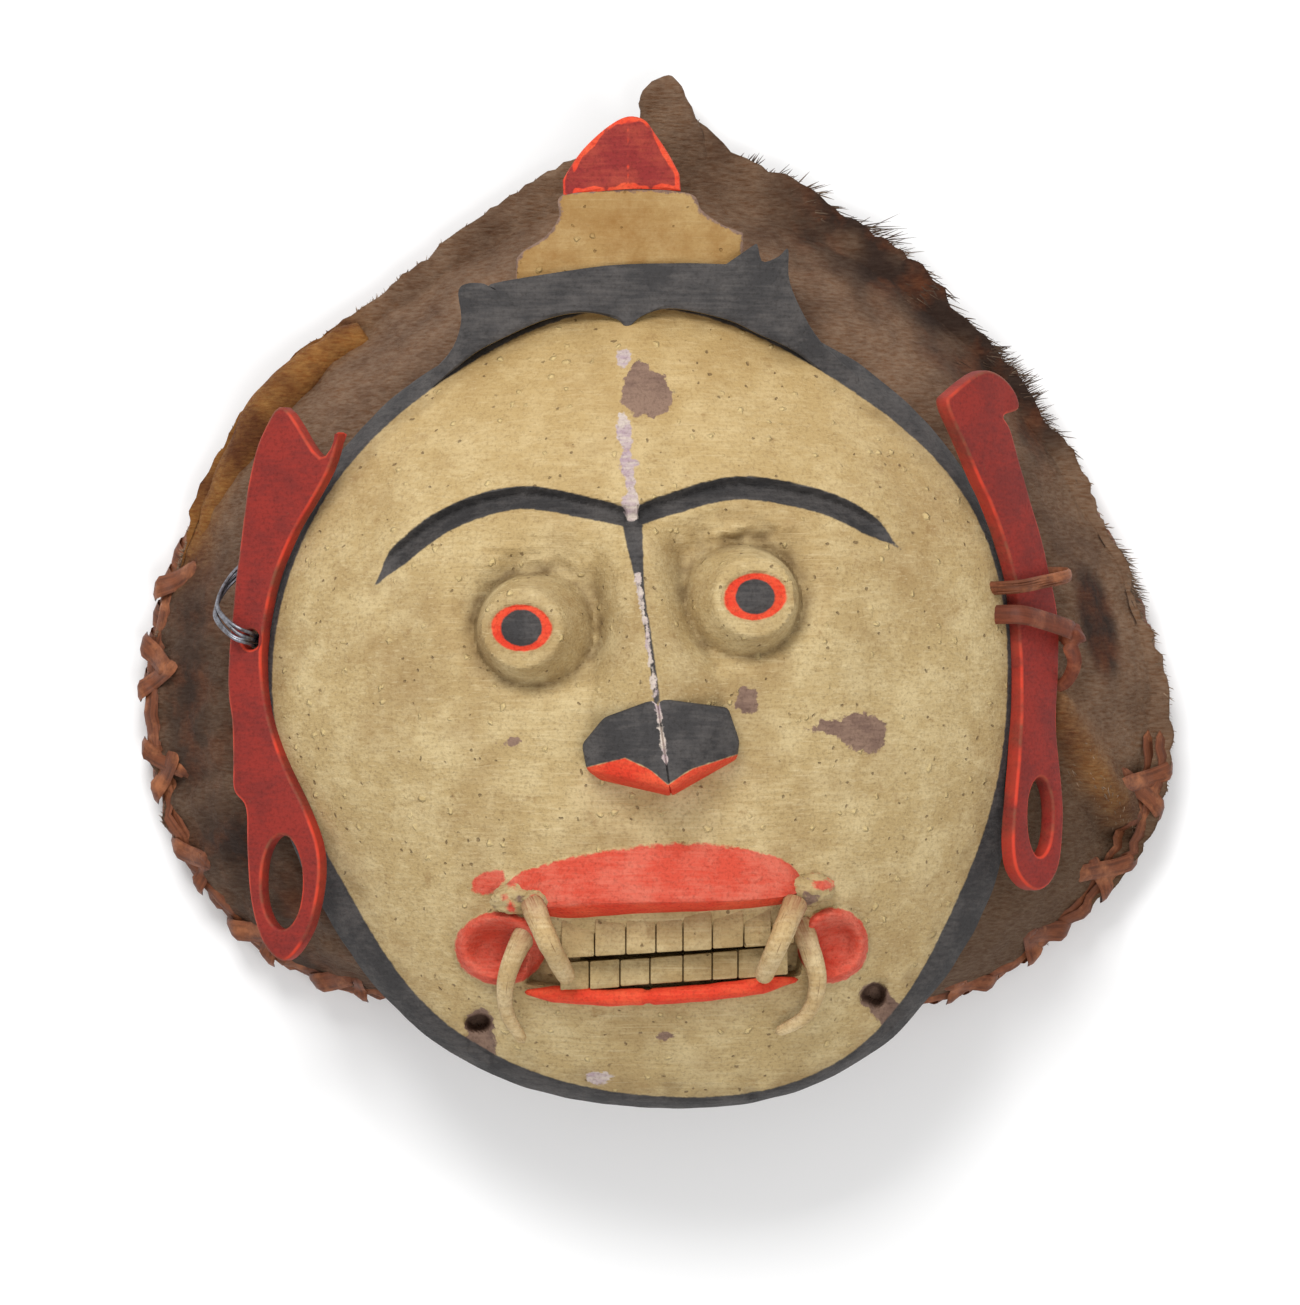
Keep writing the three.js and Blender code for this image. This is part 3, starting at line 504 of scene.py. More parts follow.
def add_board(low, high, front, reach, **colours):
    """A flat board between two edge lines, keeled up its middle, with its sides cut straight back."""
    columns, rows = 72, 16
    low, high = smooth_line(low, columns + 1), smooth_line(high, columns + 1)

    def place(s, t):
        k = round(s * columns)
        px, py = low[k] + (high[k] - low[k]) * t
        keel = CROWN_KEEL * max(0.0, 1 - abs(px) / reach)
        keel = keel - WING_FALL * float(ease(WING_START, WING_END, abs(px)))
        worn = 0.35 * noise.noise((px / 5, py / 5, front)) - 0.8 * (t in (0, 1) or s in (0, 1))
        return Vector((px + CROWN_AT[0], py + CROWN_AT[1], front - CROWN_LEAN * py + keel + worn))

    made = add_patch(bm, columns, rows, place)
    rim = [e for e in dict.fromkeys(e for p in made for e in p.link_edges) if e.is_boundary]
    back = bmesh.ops.extrude_edge_only(bm, edges=rim)["geom"]
    behind = only(bmesh.types.BMVert, back)
    for p in behind:
        p.co.z = CROWN_BACK
    bmesh.ops.triangle_fill(bm, use_beauty=True, edges=only(bmesh.types.BMEdge, back))
    ring = np.array([p.co.xy for p in behind])
    flat = np.array([p.co.xy for p in made])
    edge = np.min(np.hypot(flat[:, :1] - ring[:, 0], flat[:, 1:] - ring[:, 1]), axis=1)
    spine = np.abs(flat[:, 0] - CROWN_AT[0])
    paint(made, **{name: value(edge, spine) for name, value in colours.items()})
    paint(behind, bare=-FAR)


add_board(BAND_LOW, BAND_HIGH, 22.0, 60, black=lambda edge, spine: 0 * edge - 2)
add_board(BLOCK_LOW, BLOCK_HIGH, 19.0, 42, bare=lambda edge, spine: edge - 0.7)
add_board(
    TIP_LOW, TIP_HIGH, 20.0, 24,
    deep=lambda edge, spine: 0 * edge - 3,
    bright=lambda edge, spine: (
        np.minimum(edge - 1.1, spine + 0.2) + 2.4 * lumps(edge * 3, spine * 3, 9.0, 1.0)
    ),
)

# The face's paint: flat limewash rubbed thin, with crumbs, brush marks, stains and chips over bare wood, and
# painted shade in its hollows, grooves and gaps, with a painted highlight on the crumbs.
# Black, red and white are laid over it by hand, each where its attribute on the mesh is below 0.
CREAM, CREAM_PALE = (176, 152, 106), (200, 180, 136)
CREAM_BROWN, CREAM_GOLD, CREAM_OLD = (138, 108, 66), (176, 140, 82), (140, 102, 52)
SCRATCH, CRUMB_AND_HIGHLIGHT, BLOT, SOIL_AND_SHADE = (214, 196, 156), (214, 190, 134), (134, 102, 60), (102, 80, 50)
SOOT_BLACK, LIP_RED, LIP_PALE, DEEP_RED = (56, 54, 54), (196, 72, 52), (206, 108, 88), (132, 40, 38)
VERMILION, VERMILION_PALE = (208, 58, 34), (226, 96, 60)
CHALK, BARE_WOOD, PIT_DARK = (194, 180, 168), (134, 108, 92), (94, 68, 42)


def shade(colour):
    return (*(((c / 255 + 0.055) / 1.055) ** 2.4 if c > 10 else c / 3294.6 for c in colour), 1.0)


def feed(tree, socket, value):
    """Links another node's output to a socket, or sets the socket's own value."""
    if isinstance(value, bpy.types.NodeSocket):
        tree.links.new(value, socket)
    else:
        socket.default_value = value


def node(tree, kind, inputs=None, **settings):
    made = tree.nodes.new("ShaderNode" + kind)
    for key, value in settings.items():
        setattr(made, key, value)
    for key, value in (inputs or {}).items():
        feed(tree, made.inputs[key], value)
    return made


def blend_colour(tree, share, low, high, way="MIX"):
    inputs = {0: share, 6: low, 7: high}
    return node(tree, "Mix", inputs, data_type="RGBA", blend_type=way).outputs[2]


def tint(tree, colour, mask, strength, paint_colour):
    """A colour covered by a paint where the mask says, as strongly as given."""
    return blend_colour(tree, times(tree, mask, strength), colour, shade(paint_colour))


def figure(tree, way, *values):
    return node(tree, "Math", dict(enumerate(values)), operation=way).outputs[0]


def times(tree, one, other):
    return figure(tree, "MULTIPLY", one, other)


def plus(tree, one, other):
    return figure(tree, "ADD", one, other)


def between(tree, value, low, high):
    return node(tree, "MapRange", {"Value": value, "From Min": low, "From Max": high}).outputs[0]


def cloud(tree, place, scale, detail=4.0, rough=0.55):
    inputs = {"Vector": place, "Scale": scale, "Detail": detail, "Roughness": rough}
    return node(tree, "TexNoise", inputs).outputs["Fac"]


def stretch(tree, place, scale, turn=0.0):
    """Coordinates turned about Z and stretched, for strokes, fibres and nap."""
    return node(tree, "Mapping", {"Vector": place, "Rotation": (0, 0, turn), "Scale": scale}).outputs[0]


def new_group(name, inputs, outputs):
    tree = bpy.data.node_groups.new(name, "ShaderNodeTree")
    for label, kind, value in inputs:
        socket = tree.interface.new_socket(label, in_out="INPUT", socket_type="NodeSocket" + kind)
        socket.default_value = value
    for label, kind in outputs:
        tree.interface.new_socket(label, in_out="OUTPUT", socket_type="NodeSocket" + kind)
    return tree, tree.nodes.new("NodeGroupInput").outputs, tree.nodes.new("NodeGroupOutput").inputs


def place_group(tree, group, **inputs):
    made = node(tree, "Group", node_tree=group)
    for key, value in inputs.items():
        feed(tree, made.inputs[key], value)
    return made.outputs


paint_line, given, out = new_group(
    "Hand painted edge", [("Distance", "Float", 0.0), ("Wobble", "Float", 1.0)], [("Mask", "Float")]
)
spot = node(paint_line, "TexCoord").outputs["Object"]
stray = figure(paint_line, "SUBTRACT", cloud(paint_line, spot, 320.0, 5.0, 0.65), 0.5)
moved = figure(paint_line, "MULTIPLY_ADD", stray, given["Wobble"], given["Distance"])
paint_line.links.new(between(paint_line, moved, 0.25, -0.25), out["Mask"])

worn_coat, given, out = new_group(
    "Worn coat",
    [("Colour", "Color", (1, 1, 1, 1)), ("Rubbed", "Color", (1, 1, 1, 1)), ("Wear", "Float", 0.4)],
    [("Colour", "Color"), ("Height", "Float")],
)
spot = node(worn_coat, "TexCoord").outputs["Object"]
strokes = cloud(worn_coat, stretch(worn_coat, spot, (70, 900, 400), -0.18), 1.0, 3.0)
specks = cloud(worn_coat, spot, 900.0, 4.0, 0.7)
patches = cloud(worn_coat, spot, 70.0, 6.0, 0.65)
thin = plus(worn_coat, times(worn_coat, strokes, 0.32), times(worn_coat, patches, 0.68))
rubbed = times(worn_coat, between(worn_coat, thin, 0.44, 0.6), given["Wear"])
coat = blend_colour(worn_coat, rubbed, given["Colour"], given["Rubbed"])
dust = times(worn_coat, between(worn_coat, specks, 0.48, 0.75), 0.55)
darker = blend_colour(worn_coat, dust, coat, (0.25, 0.2, 0.16, 1), "MULTIPLY")
worn_coat.links.new(darker, out["Colour"])
worn_coat.links.new(plus(worn_coat, thin, times(worn_coat, specks, 0.4)), out["Height"])


def new_material(name, roughness):
    material = bpy.data.materials.new(name)
    material.use_nodes = True
    shader = material.node_tree.nodes["Principled BSDF"]
    shader.inputs["Roughness"].default_value = roughness
    shader.inputs["Specular IOR Level"].default_value = 0.22
    return material, material.node_tree, shader


def lit(tree, shader, colour, height, strength, distance=0.0006):
    tree.links.new(colour, shader.inputs["Base Color"])
    bump = node(tree, "Bump", {"Height": height, "Strength": strength, "Distance": distance})
    tree.links.new(bump.outputs[0], shader.inputs["Normal"])


face_paint, tree, shader = new_material("face_paint", 0.7)
spot = node(tree, "TexCoord").outputs["Object"]
masks = {}
for name in PAINTS:
    masks[name] = node(tree, "Attribute", attribute_name=name).outputs["Fac"]
limewash = place_group(tree, worn_coat, Colour=shade(CREAM), Rubbed=shade(CREAM_PALE), Wear=0.75)
stain = between(tree, cloud(tree, spot, 24.0, 6.0, 0.65), 0.47, 0.68)
colour = blend_colour(tree, times(tree, stain, 0.6), limewash["Colour"], shade(CREAM_BROWN))
up_face = node(tree, "SeparateXYZ", {"Vector": spot}).outputs["Y"]
scratch = between(tree, cloud(tree, stretch(tree, spot, (28, 1500, 700), 0.12), 1.0, 2.0, 0.5), 0.6, 0.68)
colour = tint(tree, colour, scratch, 0.25, SCRATCH)
golden = times(tree, between(tree, up_face, 0.0, 0.09), 0.75)
colour = blend_colour(tree, golden, colour, blend_colour(tree, 0.55, colour, shade(CREAM_GOLD)))
bend = node(tree, "TexNoise", {"Vector": spot, "Scale": 300.0, "Detail": 3.0}).outputs["Color"]
bent = {0: bend, 1: (0.0035, 0.0035, 0.0035), 2: spot}
bent = node(tree, "VectorMath", bent, operation="MULTIPLY_ADD").outputs[0]
# Crumbs of paint: paler towards their middles, partly their own colour and partly a painted highlight on
# their raised tops.
cells = node(tree, "TexVoronoi", {"Vector": bent, "Scale": 190.0, "Randomness": 1.0}).outputs
chosen = between(tree, cells["Color"], 0.64, 0.68)
crumb_and_highlight = times(tree, between(tree, cells["Distance"], 0.24, 0.1), chosen)
colour = tint(tree, colour, crumb_and_highlight, 0.6, CRUMB_AND_HIGHLIGHT)
# Pits: small hollows cut into the bump and painted darker.
pits = node(tree, "TexVoronoi", {"Vector": bent, "Scale": 260.0}).outputs
pit = times(tree, between(tree, pits["Distance"], 0.17, 0.08), between(tree, pits["Color"], 0.4, 0.36))
colour = tint(tree, colour, pit, 0.65, PIT_DARK)
mottle = between(tree, cloud(tree, spot, 55.0, 6.0, 0.7), 0.25, 0.7)
block = times(tree, between(tree, up_face, 0.094, 0.1), mottle)
colour = blend_colour(tree, block, colour, shade(CREAM_OLD))
blot = between(tree, cloud(tree, bent, 110.0, 6.0, 0.7), 0.6, 0.72)
colour = tint(tree, colour, blot, 0.55, BLOT)
# Painted shade and real grime: the dirt attribute darkens the face in patches, in its hollows and gaps and
# along its rim.
patchy = between(tree, cloud(tree, spot, 150.0), 0.2, 0.75)
soil_and_shade = times(tree, between(tree, masks["dirt"], 0.1, 3.0), patchy)
colour = blend_colour(tree, soil_and_shade, colour, shade(SOIL_AND_SHADE))
covered = 0.0
for name, plain, rubbed, wobble, wear in (
    ("bare", BARE_WOOD, (104, 80, 70), 5.0, 0.8),
    ("deep", DEEP_RED, (168, 70, 52), 0.5, 0.6),
    ("red", LIP_RED, LIP_PALE, 2.4, 0.8),
    ("bright", VERMILION, VERMILION_PALE, 1.0, 0.6),
    ("black", SOOT_BLACK, (84, 80, 78), 1.1, 0.8),
    ("white", CHALK, (160, 136, 146), 5.0, 0.9),
):
    coat = place_group(tree, worn_coat, Colour=shade(plain), Rubbed=shade(rubbed), Wear=wear)["Colour"]
    edge = place_group(tree, paint_line, Distance=masks[name], Wobble=wobble)["Mask"]
    colour = blend_colour(tree, edge, colour, coat)
    covered = figure(tree, "MAXIMUM", covered, edge)
grit = figure(tree, "SUBTRACT", times(tree, crumb_and_highlight, 1.0), times(tree, pit, 0.7))
grit = times(tree, grit, figure(tree, "SUBTRACT", 1.0, covered))
height = plus(tree, limewash["Height"], grit)
lit(tree, shader, colour, height, 0.9, 0.0008)


def put(bm, name, material, slot, *nodes, sharp=0.7):
    """Moves a finished piece from the face's millimetres into the frame, attaches it to the root and hides
    the model's parts that it stands for.
    """
    bmesh.ops.translate(bm, verts=bm.verts, vec=FACE_AT)
    bmesh.ops.scale(bm, verts=bm.verts, vec=(0.001, 0.001, 0.001))
    mesh = bpy.data.meshes.new(name)
    bm.to_mesh(mesh)
    bm.free()
    mesh.shade_smooth()
    mesh.set_sharp_from_angle(angle=sharp)
    mesh.materials.append(material)
    piece = bpy.data.objects.new(name, mesh)
    bpy.context.scene.collection.objects.link(piece)
    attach(piece, "root")
    if nodes:
        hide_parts(*nodes)
    return piece


put(bm, "carved_face", face_paint, "painted_wood", "face")

# The tusks and fangs: four bent pegs of pale wood, split along the grain and stained at their roots.
# Each is let into a hole at the corner of the lips and set in putty.
TUSK_SIZE, FANG_SIZE = (3.9, 1.7), (3.8, 2.9)
PEG_POINTS, PEG_SIDES = 30, 14
PEGS = {
    "tusk_left": (
        ((-35, -71, -2), (-40, -79, 6), (-44, -90, 10), (-44, -101, 9), (-38, -112, 6)), TUSK_SIZE
    ),
    "tusk_right": (
        ((54, -69, -2), (58, -79, 6), (60.8, -91, 10), (57, -102, 9), (46.5, -108.5, 6)), TUSK_SIZE
    ),
    "fang_left": (((-36, -62, 7), (-29.6, -77, 18), (-23, -90, 8)), FANG_SIZE),
    "fang_right": (((54, -62, 7), (47.5, -77, 18), (42, -90, 8)), FANG_SIZE),
}
peg_wood, tree, shader = new_material("peg_wood", 0.6)
coat = place_group(tree, worn_coat, Colour=shade((182, 154, 108)), Rubbed=shade((210, 188, 146)), Wear=0.8)
along = node(tree, "UVMap").outputs["UV"]
fibres = cloud(tree, stretch(tree, along, (16, 2.2, 1)), 1.0, 5.0, 0.7)
cracks = between(tree, fibres, 0.44, 0.36)
ends = node(tree, "SeparateXYZ", {"Vector": along}).outputs["Y"]
root = times(tree, between(tree, ends, 0.34, 0.04), between(tree, fibres, 0.3, 0.6))
colour = blend_colour(tree, times(tree, cracks, 0.7), coat["Colour"], shade((112, 80, 50)))
colour = blend_colour(tree, root, colour, shade((132, 78, 52)))
lit(tree, shader, colour, plus(tree, coat["Height"], fibres), 0.6)
for name, (points, (root_radius, tip_radius)) in PEGS.items():
    line = smooth_line([on_dome(point) for point in points], PEG_POINTS)
    radii = rounded(PEG_POINTS, root_radius, tip_radius)
    radii *= [1.1 + 0.1 * noise.noise((k / 3.0, len(name), root_radius)) for k in range(PEG_POINTS)]
    bm = bmesh.new()
    bm.loops.layers.uv.new("UVMap")
    add_rod(bm, line, radii, sides=PEG_SIDES, flat=0.92)
    put(bm, name + "_peg", peg_wood, "tusk_wood", name)

# The ears: two long thin boards with slotted lobes, painted red and worn at their edges.
# They stand at the face's sides, turned outwards, and are lashed to it.
EAR_THICK = 6.0
EAR_LEFT = {
    "at": (-125.5, 24.3, 17), "tilt": -28,
    "edge": (
        (8, 79), (22, 62), (29, 71), (25, 57), (12, 37), (4, 20), (-0.5, 0), (0.5, -20), (7, -40), (16, -57),
        (21.5, -71), (21.5, -84), (17, -99), (8.5, -108.5), (0, -103), (-5, -88), (-6.5, -71), (-7, -57),
        (-11.5, -51), (-12, -42), (-12.5, -27), (-14, -10), (-10, 27), (-5, 57), (0, 71),
    ),
    "holes": ((7.2, -82, 8, 16), (-5, 0.3, 3.4, 3.4)),
}
EAR_RIGHT = {
    "at": (127.5, 24.3, 17), "tilt": 48,
    "edge": (
        (-19, 91), (-33, 84), (-37, 79), (-27, 64), (-9, 37), (-1, 17), (0.5, 0), (1.5, -20), (-0.5, -47),
        (-3, -64), (-1, -78), (9.5, -85), (19.5, -79.5), (23.5, -64), (22.5, -47), (20, -27), (21.5, -3),
        (18.5, 17), (11, 37), (3.5, 54), (-4, 71), (-7.5, 76), (0, 78.5), (-1.5, 84), (-9, 89.5),
    ),
    "holes": ((11.4, -60, 6.6, 13.5),),
}
ear_paint, tree, shader = new_material("ear_paint", 0.65)
coat = place_group(tree, worn_coat, Colour=shade((138, 42, 34)), Rubbed=shade((112, 38, 34)), Wear=0.8)
edge = node(tree, "Attribute", attribute_name="edge").outputs["Fac"]
spot = node(tree, "TexCoord").outputs["Object"]
worn = times(tree, edge, between(tree, cloud(tree, spot, 130.0, 5.0, 0.7), 0.36, 0.6))
bright = times(tree, edge, between(tree, cloud(tree, spot, 60.0, 4.0), 0.45, 0.6))
colour = blend_colour(tree, times(tree, worn, 0.75), coat["Colour"], shade((120, 74, 52)))
colour = tint(tree, colour, bright, 0.8, (206, 58, 36))
chips = between(tree, cloud(tree, spot, 190.0, 6.0, 0.75), 0.66, 0.7)
colour = tint(tree, colour, chips, 0.7, (104, 62, 48))
lit(tree, shader, colour, coat["Height"], 0.5)
for name, ear in (("ear_left", EAR_LEFT), ("ear_right", EAR_RIGHT)):
    bm = bmesh.new()
    loops = [smooth_line(ear["edge"], 5 * len(ear["edge"]) + 1, closed=True)[:-1]]
    for cx, cy, wide, tall in ear["holes"]:
        turns = np.linspace(0, math.tau, 36, endpoint=False)
        loops.append(np.stack((cx + wide * np.cos(turns), cy + tall * np.sin(turns)), axis=1))
    for loop in loops:
        ring = [bm.verts.new((px, py, -EAR_THICK / 2)) for px, py in loop]
        for a, b in zip(ring, ring[1:] + ring[:1]):
            bm.edges.new((a, b))
    board = bmesh.ops.triangle_fill(bm, use_beauty=True, edges=bm.edges)["geom"]
    faces = only(bmesh.types.BMFace, board)
    lifted = bmesh.ops.extrude_face_region(bm, geom=faces, use_keep_orig=True)["geom"]
    bmesh.ops.translate(bm, verts=only(bmesh.types.BMVert, lifted), vec=(0, 0, EAR_THICK))
    bmesh.ops.recalc_face_normals(bm, faces=bm.faces)
    corners = [e for e in bm.edges if e.calc_face_angle(0) > 1.2]
    bmesh.ops.bevel(bm, geom=corners, offset=1.1, segments=3, profile=0.5, affect="EDGES", material=-1)
    edge_layer = bm.verts.layers.float.new("edge")
    for p in bm.verts:
        facing = max(abs(f.normal.z) for f in p.link_faces)
        steep = min(abs(f.normal.z) for f in p.link_faces)
        p[edge_layer] = 0.35 if facing < 0.3 else (0.0 if steep > 0.9 else 1.0)
    spin = math.radians(ear["tilt"])
    for p in bm.verts:
        across, up_board, out_board = p.co
        out_board += 0.5 * noise.noise((across / 14, up_board / 14, 2.0))
        p.co = Vector((
            across * math.cos(spin) + out_board * math.sin(spin),
            up_board,
            out_board * math.cos(spin) - across * math.sin(spin),
        )) + Vector(ear["at"])
    put(bm, name + "_board", ear_paint, "red_wood", name)

# The lashings that hold the ears: four turns of grey wire at the left, a split rattan strip and a leather
# strip with a painted knot at the right, each passed through the shell and round its ear.
EAR_WIRE = ((-106, 41, 10), (-119.5, 50, 6), (-129, 51, 3), (-138.5, 45, 4.5), (-143, 35, 12),
            (-137, 27, 20), (-131, 24.6, 18.5), (-129, 24.6, 10), (-119, 26, 6))
RATTAN_TIE = ((107, 42, 13), (119, 42, 19), (129, 42.5, 24), (137, 44, 17), (146, 46, 8), (146, 47, 0.5),
              (138, 47, -2.5), (128, 46, 2.5), (115, 44, 6))
LEATHER_STRAP = ((107, 33, 13), (119, 33, 19), (130, 33, 24), (138.5, 31, 16), (147.5, 28, 6.5),
                 (147.5, 27, -1), (139, 28, -3), (129, 30, 2.5), (115, 32, 6))
KNOT_AT, KNOT_SIZE = Vector((148.5, 26, 2)), Vector((4.6, 5.6, 4.4))


def bound_round(points, count):
    """A closed lashing's line, and the way out from its middle at each point."""
    line = smooth_line(points, count, closed=True)
    out = line - line.mean(axis=0)
    return line, out / np.linalg.norm(out, axis=1)[:, None]


def start():
    bm = bmesh.new()
    bm.loops.layers.uv.new("UVMap")
    return bm


grey_wire, tree, shader = new_material("grey_wire", 0.42)
shader.inputs["Metallic"].default_value = 0.85
spot = node(tree, "TexCoord").outputs["Object"]
tarnish = cloud(tree, spot, 420.0, 5.0, 0.7)
colour = blend_colour(tree, between(tree, tarnish, 0.4, 0.65), shade((136, 138, 146)), shade((78, 72, 70)))
lit(tree, shader, colour, tarnish, 0.3)
line, out = bound_round(EAR_WIRE, 73)
bm = start()
for k in range(4):
    slack = np.sin(np.linspace(0, math.tau, 73) * (2 + k % 2) + k) * 0.5
    strand = line + np.array((0.25, 1.0, 0.0)) * ((k - 1.5) * 1.25 + slack)[:, None]
    strand[-1] = strand[0]
    add_rod(bm, strand, 0.62, sides=8, up=out, closed=True)
put(bm, "ear_wire_turns", grey_wire, "wire", "ear_wire")


def split_cane(name, plain, pale, dark, streak=9.0):
    """Split cane or leather: long fibres along the strip, darker where the fibre relief is low and paler in
    loose patches.
    """
    material, tree, shader = new_material(name, 0.55)
    strip = node(tree, "UVMap").outputs["UV"]
    spot = node(tree, "TexCoord").outputs["Object"]
    fibres = cloud(tree, stretch(tree, strip, (streak, 1.6, 1)), 1.0, 6.0, 0.7)
    patches = cloud(tree, spot, 95.0, 5.0, 0.65)
    colour = blend_colour(tree, between(tree, fibres, 0.35, 0.65), shade(dark), shade(plain))
    colour = blend_colour(tree, between(tree, patches, 0.5, 0.72), colour, shade(pale))
    specks = cloud(tree, spot, 700.0, 3.0)
    colour = blend_colour(tree, times(tree, specks, 0.35), colour, shade((60, 40, 28)), "MULTIPLY")
    lit(tree, shader, colour, plus(tree, fibres, times(tree, specks, 0.5)), 0.5)
    return material


cane = split_cane("split_cane", (136, 78, 50), (172, 108, 70), (84, 48, 32))
line, out = bound_round(RATTAN_TIE, 61)
bm = start()
add_rod(bm, line, 2.3, sides=8, flat=0.5, up=out, closed=True)
for k in range(5):
    lift = 0.9 + 0.4 * np.sin(np.linspace(0, math.tau, 61) * 3 + k)
    hair = line + out * lift[:, None] + np.array((0.1, 1.0, 0)) * (k - 2) * 0.8
    add_rod(bm, hair[8:26], rounded(18, 0.35, 0.2), sides=5)
put(bm, "rattan_tie_strip", cane, "rattan", "rattan_tie")

strap_leather = split_cane("strap_leather", (128, 66, 44), (158, 92, 62), (78, 40, 28), 4.0)
line, out = bound_round(LEATHER_STRAP, 61)
bm = start()
add_rod(bm, line, 3.3, sides=8, flat=0.26, up=out, closed=True)
knot = bmesh.ops.create_icosphere(bm, subdivisions=3, radius=1.0)["verts"]
for p in knot:
    swell = 1 + 0.18 * math.sin(5 * p.co.y + 3 * p.co.x) + 0.1 * noise.noise(p.co * 2.5)
    p.co = Vector(a * b for a, b in zip(p.co * swell, KNOT_SIZE * 0.86)) + KNOT_AT
tail = smooth_line(((146.5, 24, 5), (149, 17, 4), (146, 10, 0), (140, 8, -2)), 18)
add_rod(bm, tail, rounded(18, 2.7, 2.0), sides=8, flat=0.3)
put(bm, "leather_strap_tied", strap_leather, "leather", "leather_strap")

# The cap: stakes of split rattan woven over and under plain hoops, a shallow dish behind the face.
# It goes over the wearer's head and carries the hide.
CAP_TOP_RADII = (121, 129, 132, 132, 128, 125, 119.5, 116, 106, 104, 110, 126)
RIM_RADII = (176, 166, 170, 176, 160, 162, 165, 151, 114, 108, 118, 157)
CAP_TOP, CAP_FOOT, CAP_CURVE = -4.35, -51.65, 1.8
STAKES, HOOPS, WEAVE = 64, 10, 0.95
cap_top, rim_line = outline(CAP_TOP_RADII), outline(RIM_RADII)


def on_cap(turn, share, lift):
    """A point of the cap's wall: share 0 behind the face and 1 at the rim, moved outwards by lift."""
    top, foot = cap_top(turn), rim_line(turn)
    run, fall = foot - top, CAP_TOP - CAP_FOOT
    steep = fall * CAP_CURVE * share ** (CAP_CURVE - 1)
    size = np.hypot(steep, run)
    radius = top + run * share + lift * steep / size
    height = np.maximum(CAP_TOP - fall * share**CAP_CURVE + lift * run / size, CAP_FOOT)
    return np.stack(np.broadcast_arrays(radius * np.cos(turn), radius * np.sin(turn), height), axis=-1)


bm = start()
shares = np.linspace(0.0, 1.0, 31)
for i in range(STAKES):
    turn = i / STAKES * math.tau
    lift = -1.9 + WEAVE * np.cos(math.pi * shares * (HOOPS - 1)) * (-1) ** i
    stake = on_cap(turn, shares, lift)
    away = np.array((math.cos(turn) * 0.5, math.sin(turn) * 0.5, 0.87))
    add_rod(bm, stake, rounded(31, 2.3, 2.7, 1), sides=4, flat=0.3, up=away)
turns = np.linspace(0.0, math.tau, STAKES * 3 + 1)
for j in range(HOOPS):
    share = j / (HOOPS - 1)
    lift = -1.9 - WEAVE * np.cos(turns / math.tau * math.pi * STAKES) * (-1) ** j
    hoop = on_cap(turns, share, lift)
    away = np.stack((np.cos(turns) * 0.5, np.sin(turns) * 0.5, np.full(turns.shape, 0.87)), axis=1)
    add_rod(bm, hoop, 2.2, sides=4, flat=0.3, up=away, closed=True)
put(bm, "woven_cap", cane, "rattan", "basket")

# The hide: one raw animal skin stretched wet over the cap with its hair outwards, dried hard and laced to
# the rim; its edge has curled and split, and a stub of it stands up at the top.
HIDE_RADII = (
    184, 175, 174, 175, 182, 192, 197, 182, 169, 170, 170, 165,
    167, 165, 150, 130, 112, 106, 104, 108, 116, 141, 160, 181,
)
HIDE_LIFT, HIDE_LAST, HIDE_DROOP = 3.4, 0.95, -0.12
HIDE_THICK = 1.2
FOLD = ((136, 14), (141, 4), (152, -14), (166, -34))
STUB_TURN, STUB_PEAK, STUB_SPREAD = 87.0, 13.0, 4.2
plain_edge = outline(HIDE_RADII)


def hide_edge(turn):
    """Radius of the skin's cut edge, with the peak that runs up to its stub."""
    away = (np.degrees(turn) % 360 - STUB_TURN) / STUB_SPREAD
    return plain_edge(turn) + STUB_PEAK * np.exp(-(away**2))


fold_line = smooth_line(FOLD, 14)


def on_hide(turn, share):
    """Points of the skin: share 0 behind the face, 0.8 where it leaves the cap and 1 at its edge."""
    p = on_cap(turn, np.minimum(share / 0.8, 1.0) * HIDE_LAST, HIDE_LIFT)
    edge = np.maximum(0.0, share - 0.8) / 0.2
    reach = np.maximum(0.0, hide_edge(turn) - np.hypot(p[:, 0], p[:, 1])) * edge
    ragged = 2.4 * lumps(p[:, 0], p[:, 1], 5.0, 7.0) + 2.0 * lumps(p[:, 0], p[:, 1], 17.0, 2.0)
    reach = edge * np.maximum(reach / np.maximum(edge, 0.01) + ragged, 1.0)
    away = np.stack((np.cos(turn), np.sin(turn), np.full(turn.shape, HIDE_DROOP)), axis=1)
    p = p + away * reach[:, None]
    x, y = p[:, 0], p[:, 1]
    gap, _ = from_line(x, y, fold_line)
    beside = (x - 150) * 0.82 + (y + 12) * 0.57 < 0
    rise = 7.5 * np.exp(-((gap / 5.5) ** 2)) - np.where(beside, 4.0 * np.exp(-(((gap - 8) / 4) ** 2)), 0.0)
    rise = rise + 2.0 * lumps(x, y, 16.0, 5.0) + 1.1 * lumps(x, y, 6.0, 1.0)
    shrunk = ease(150, 172, np.degrees(turn) % 360) * ease(262, 235, np.degrees(turn) % 360)
    rise = rise + shrunk * (3.0 * lumps(x * 0.6, y, 9.0, 8.0) + 1.2 * lumps(x, y, 4.0, 3.0))
    rise = rise + 0.8 * np.sin(26 * turn + 3 * lumps(x, y, 40.0, 0.0)) * share
    rise = rise * ease(0.05, 0.3, share)
    return p + np.stack((0.5 * rise * np.cos(turn), 0.5 * rise * np.sin(turn), 0.86 * rise), axis=1)


AROUND, ACROSS = 420, 40
bm = start()
SKIN_MARKS = ("gold", "dark", "bare")
hide_marks = {name: bm.verts.layers.float.new(name) for name in SKIN_MARKS}


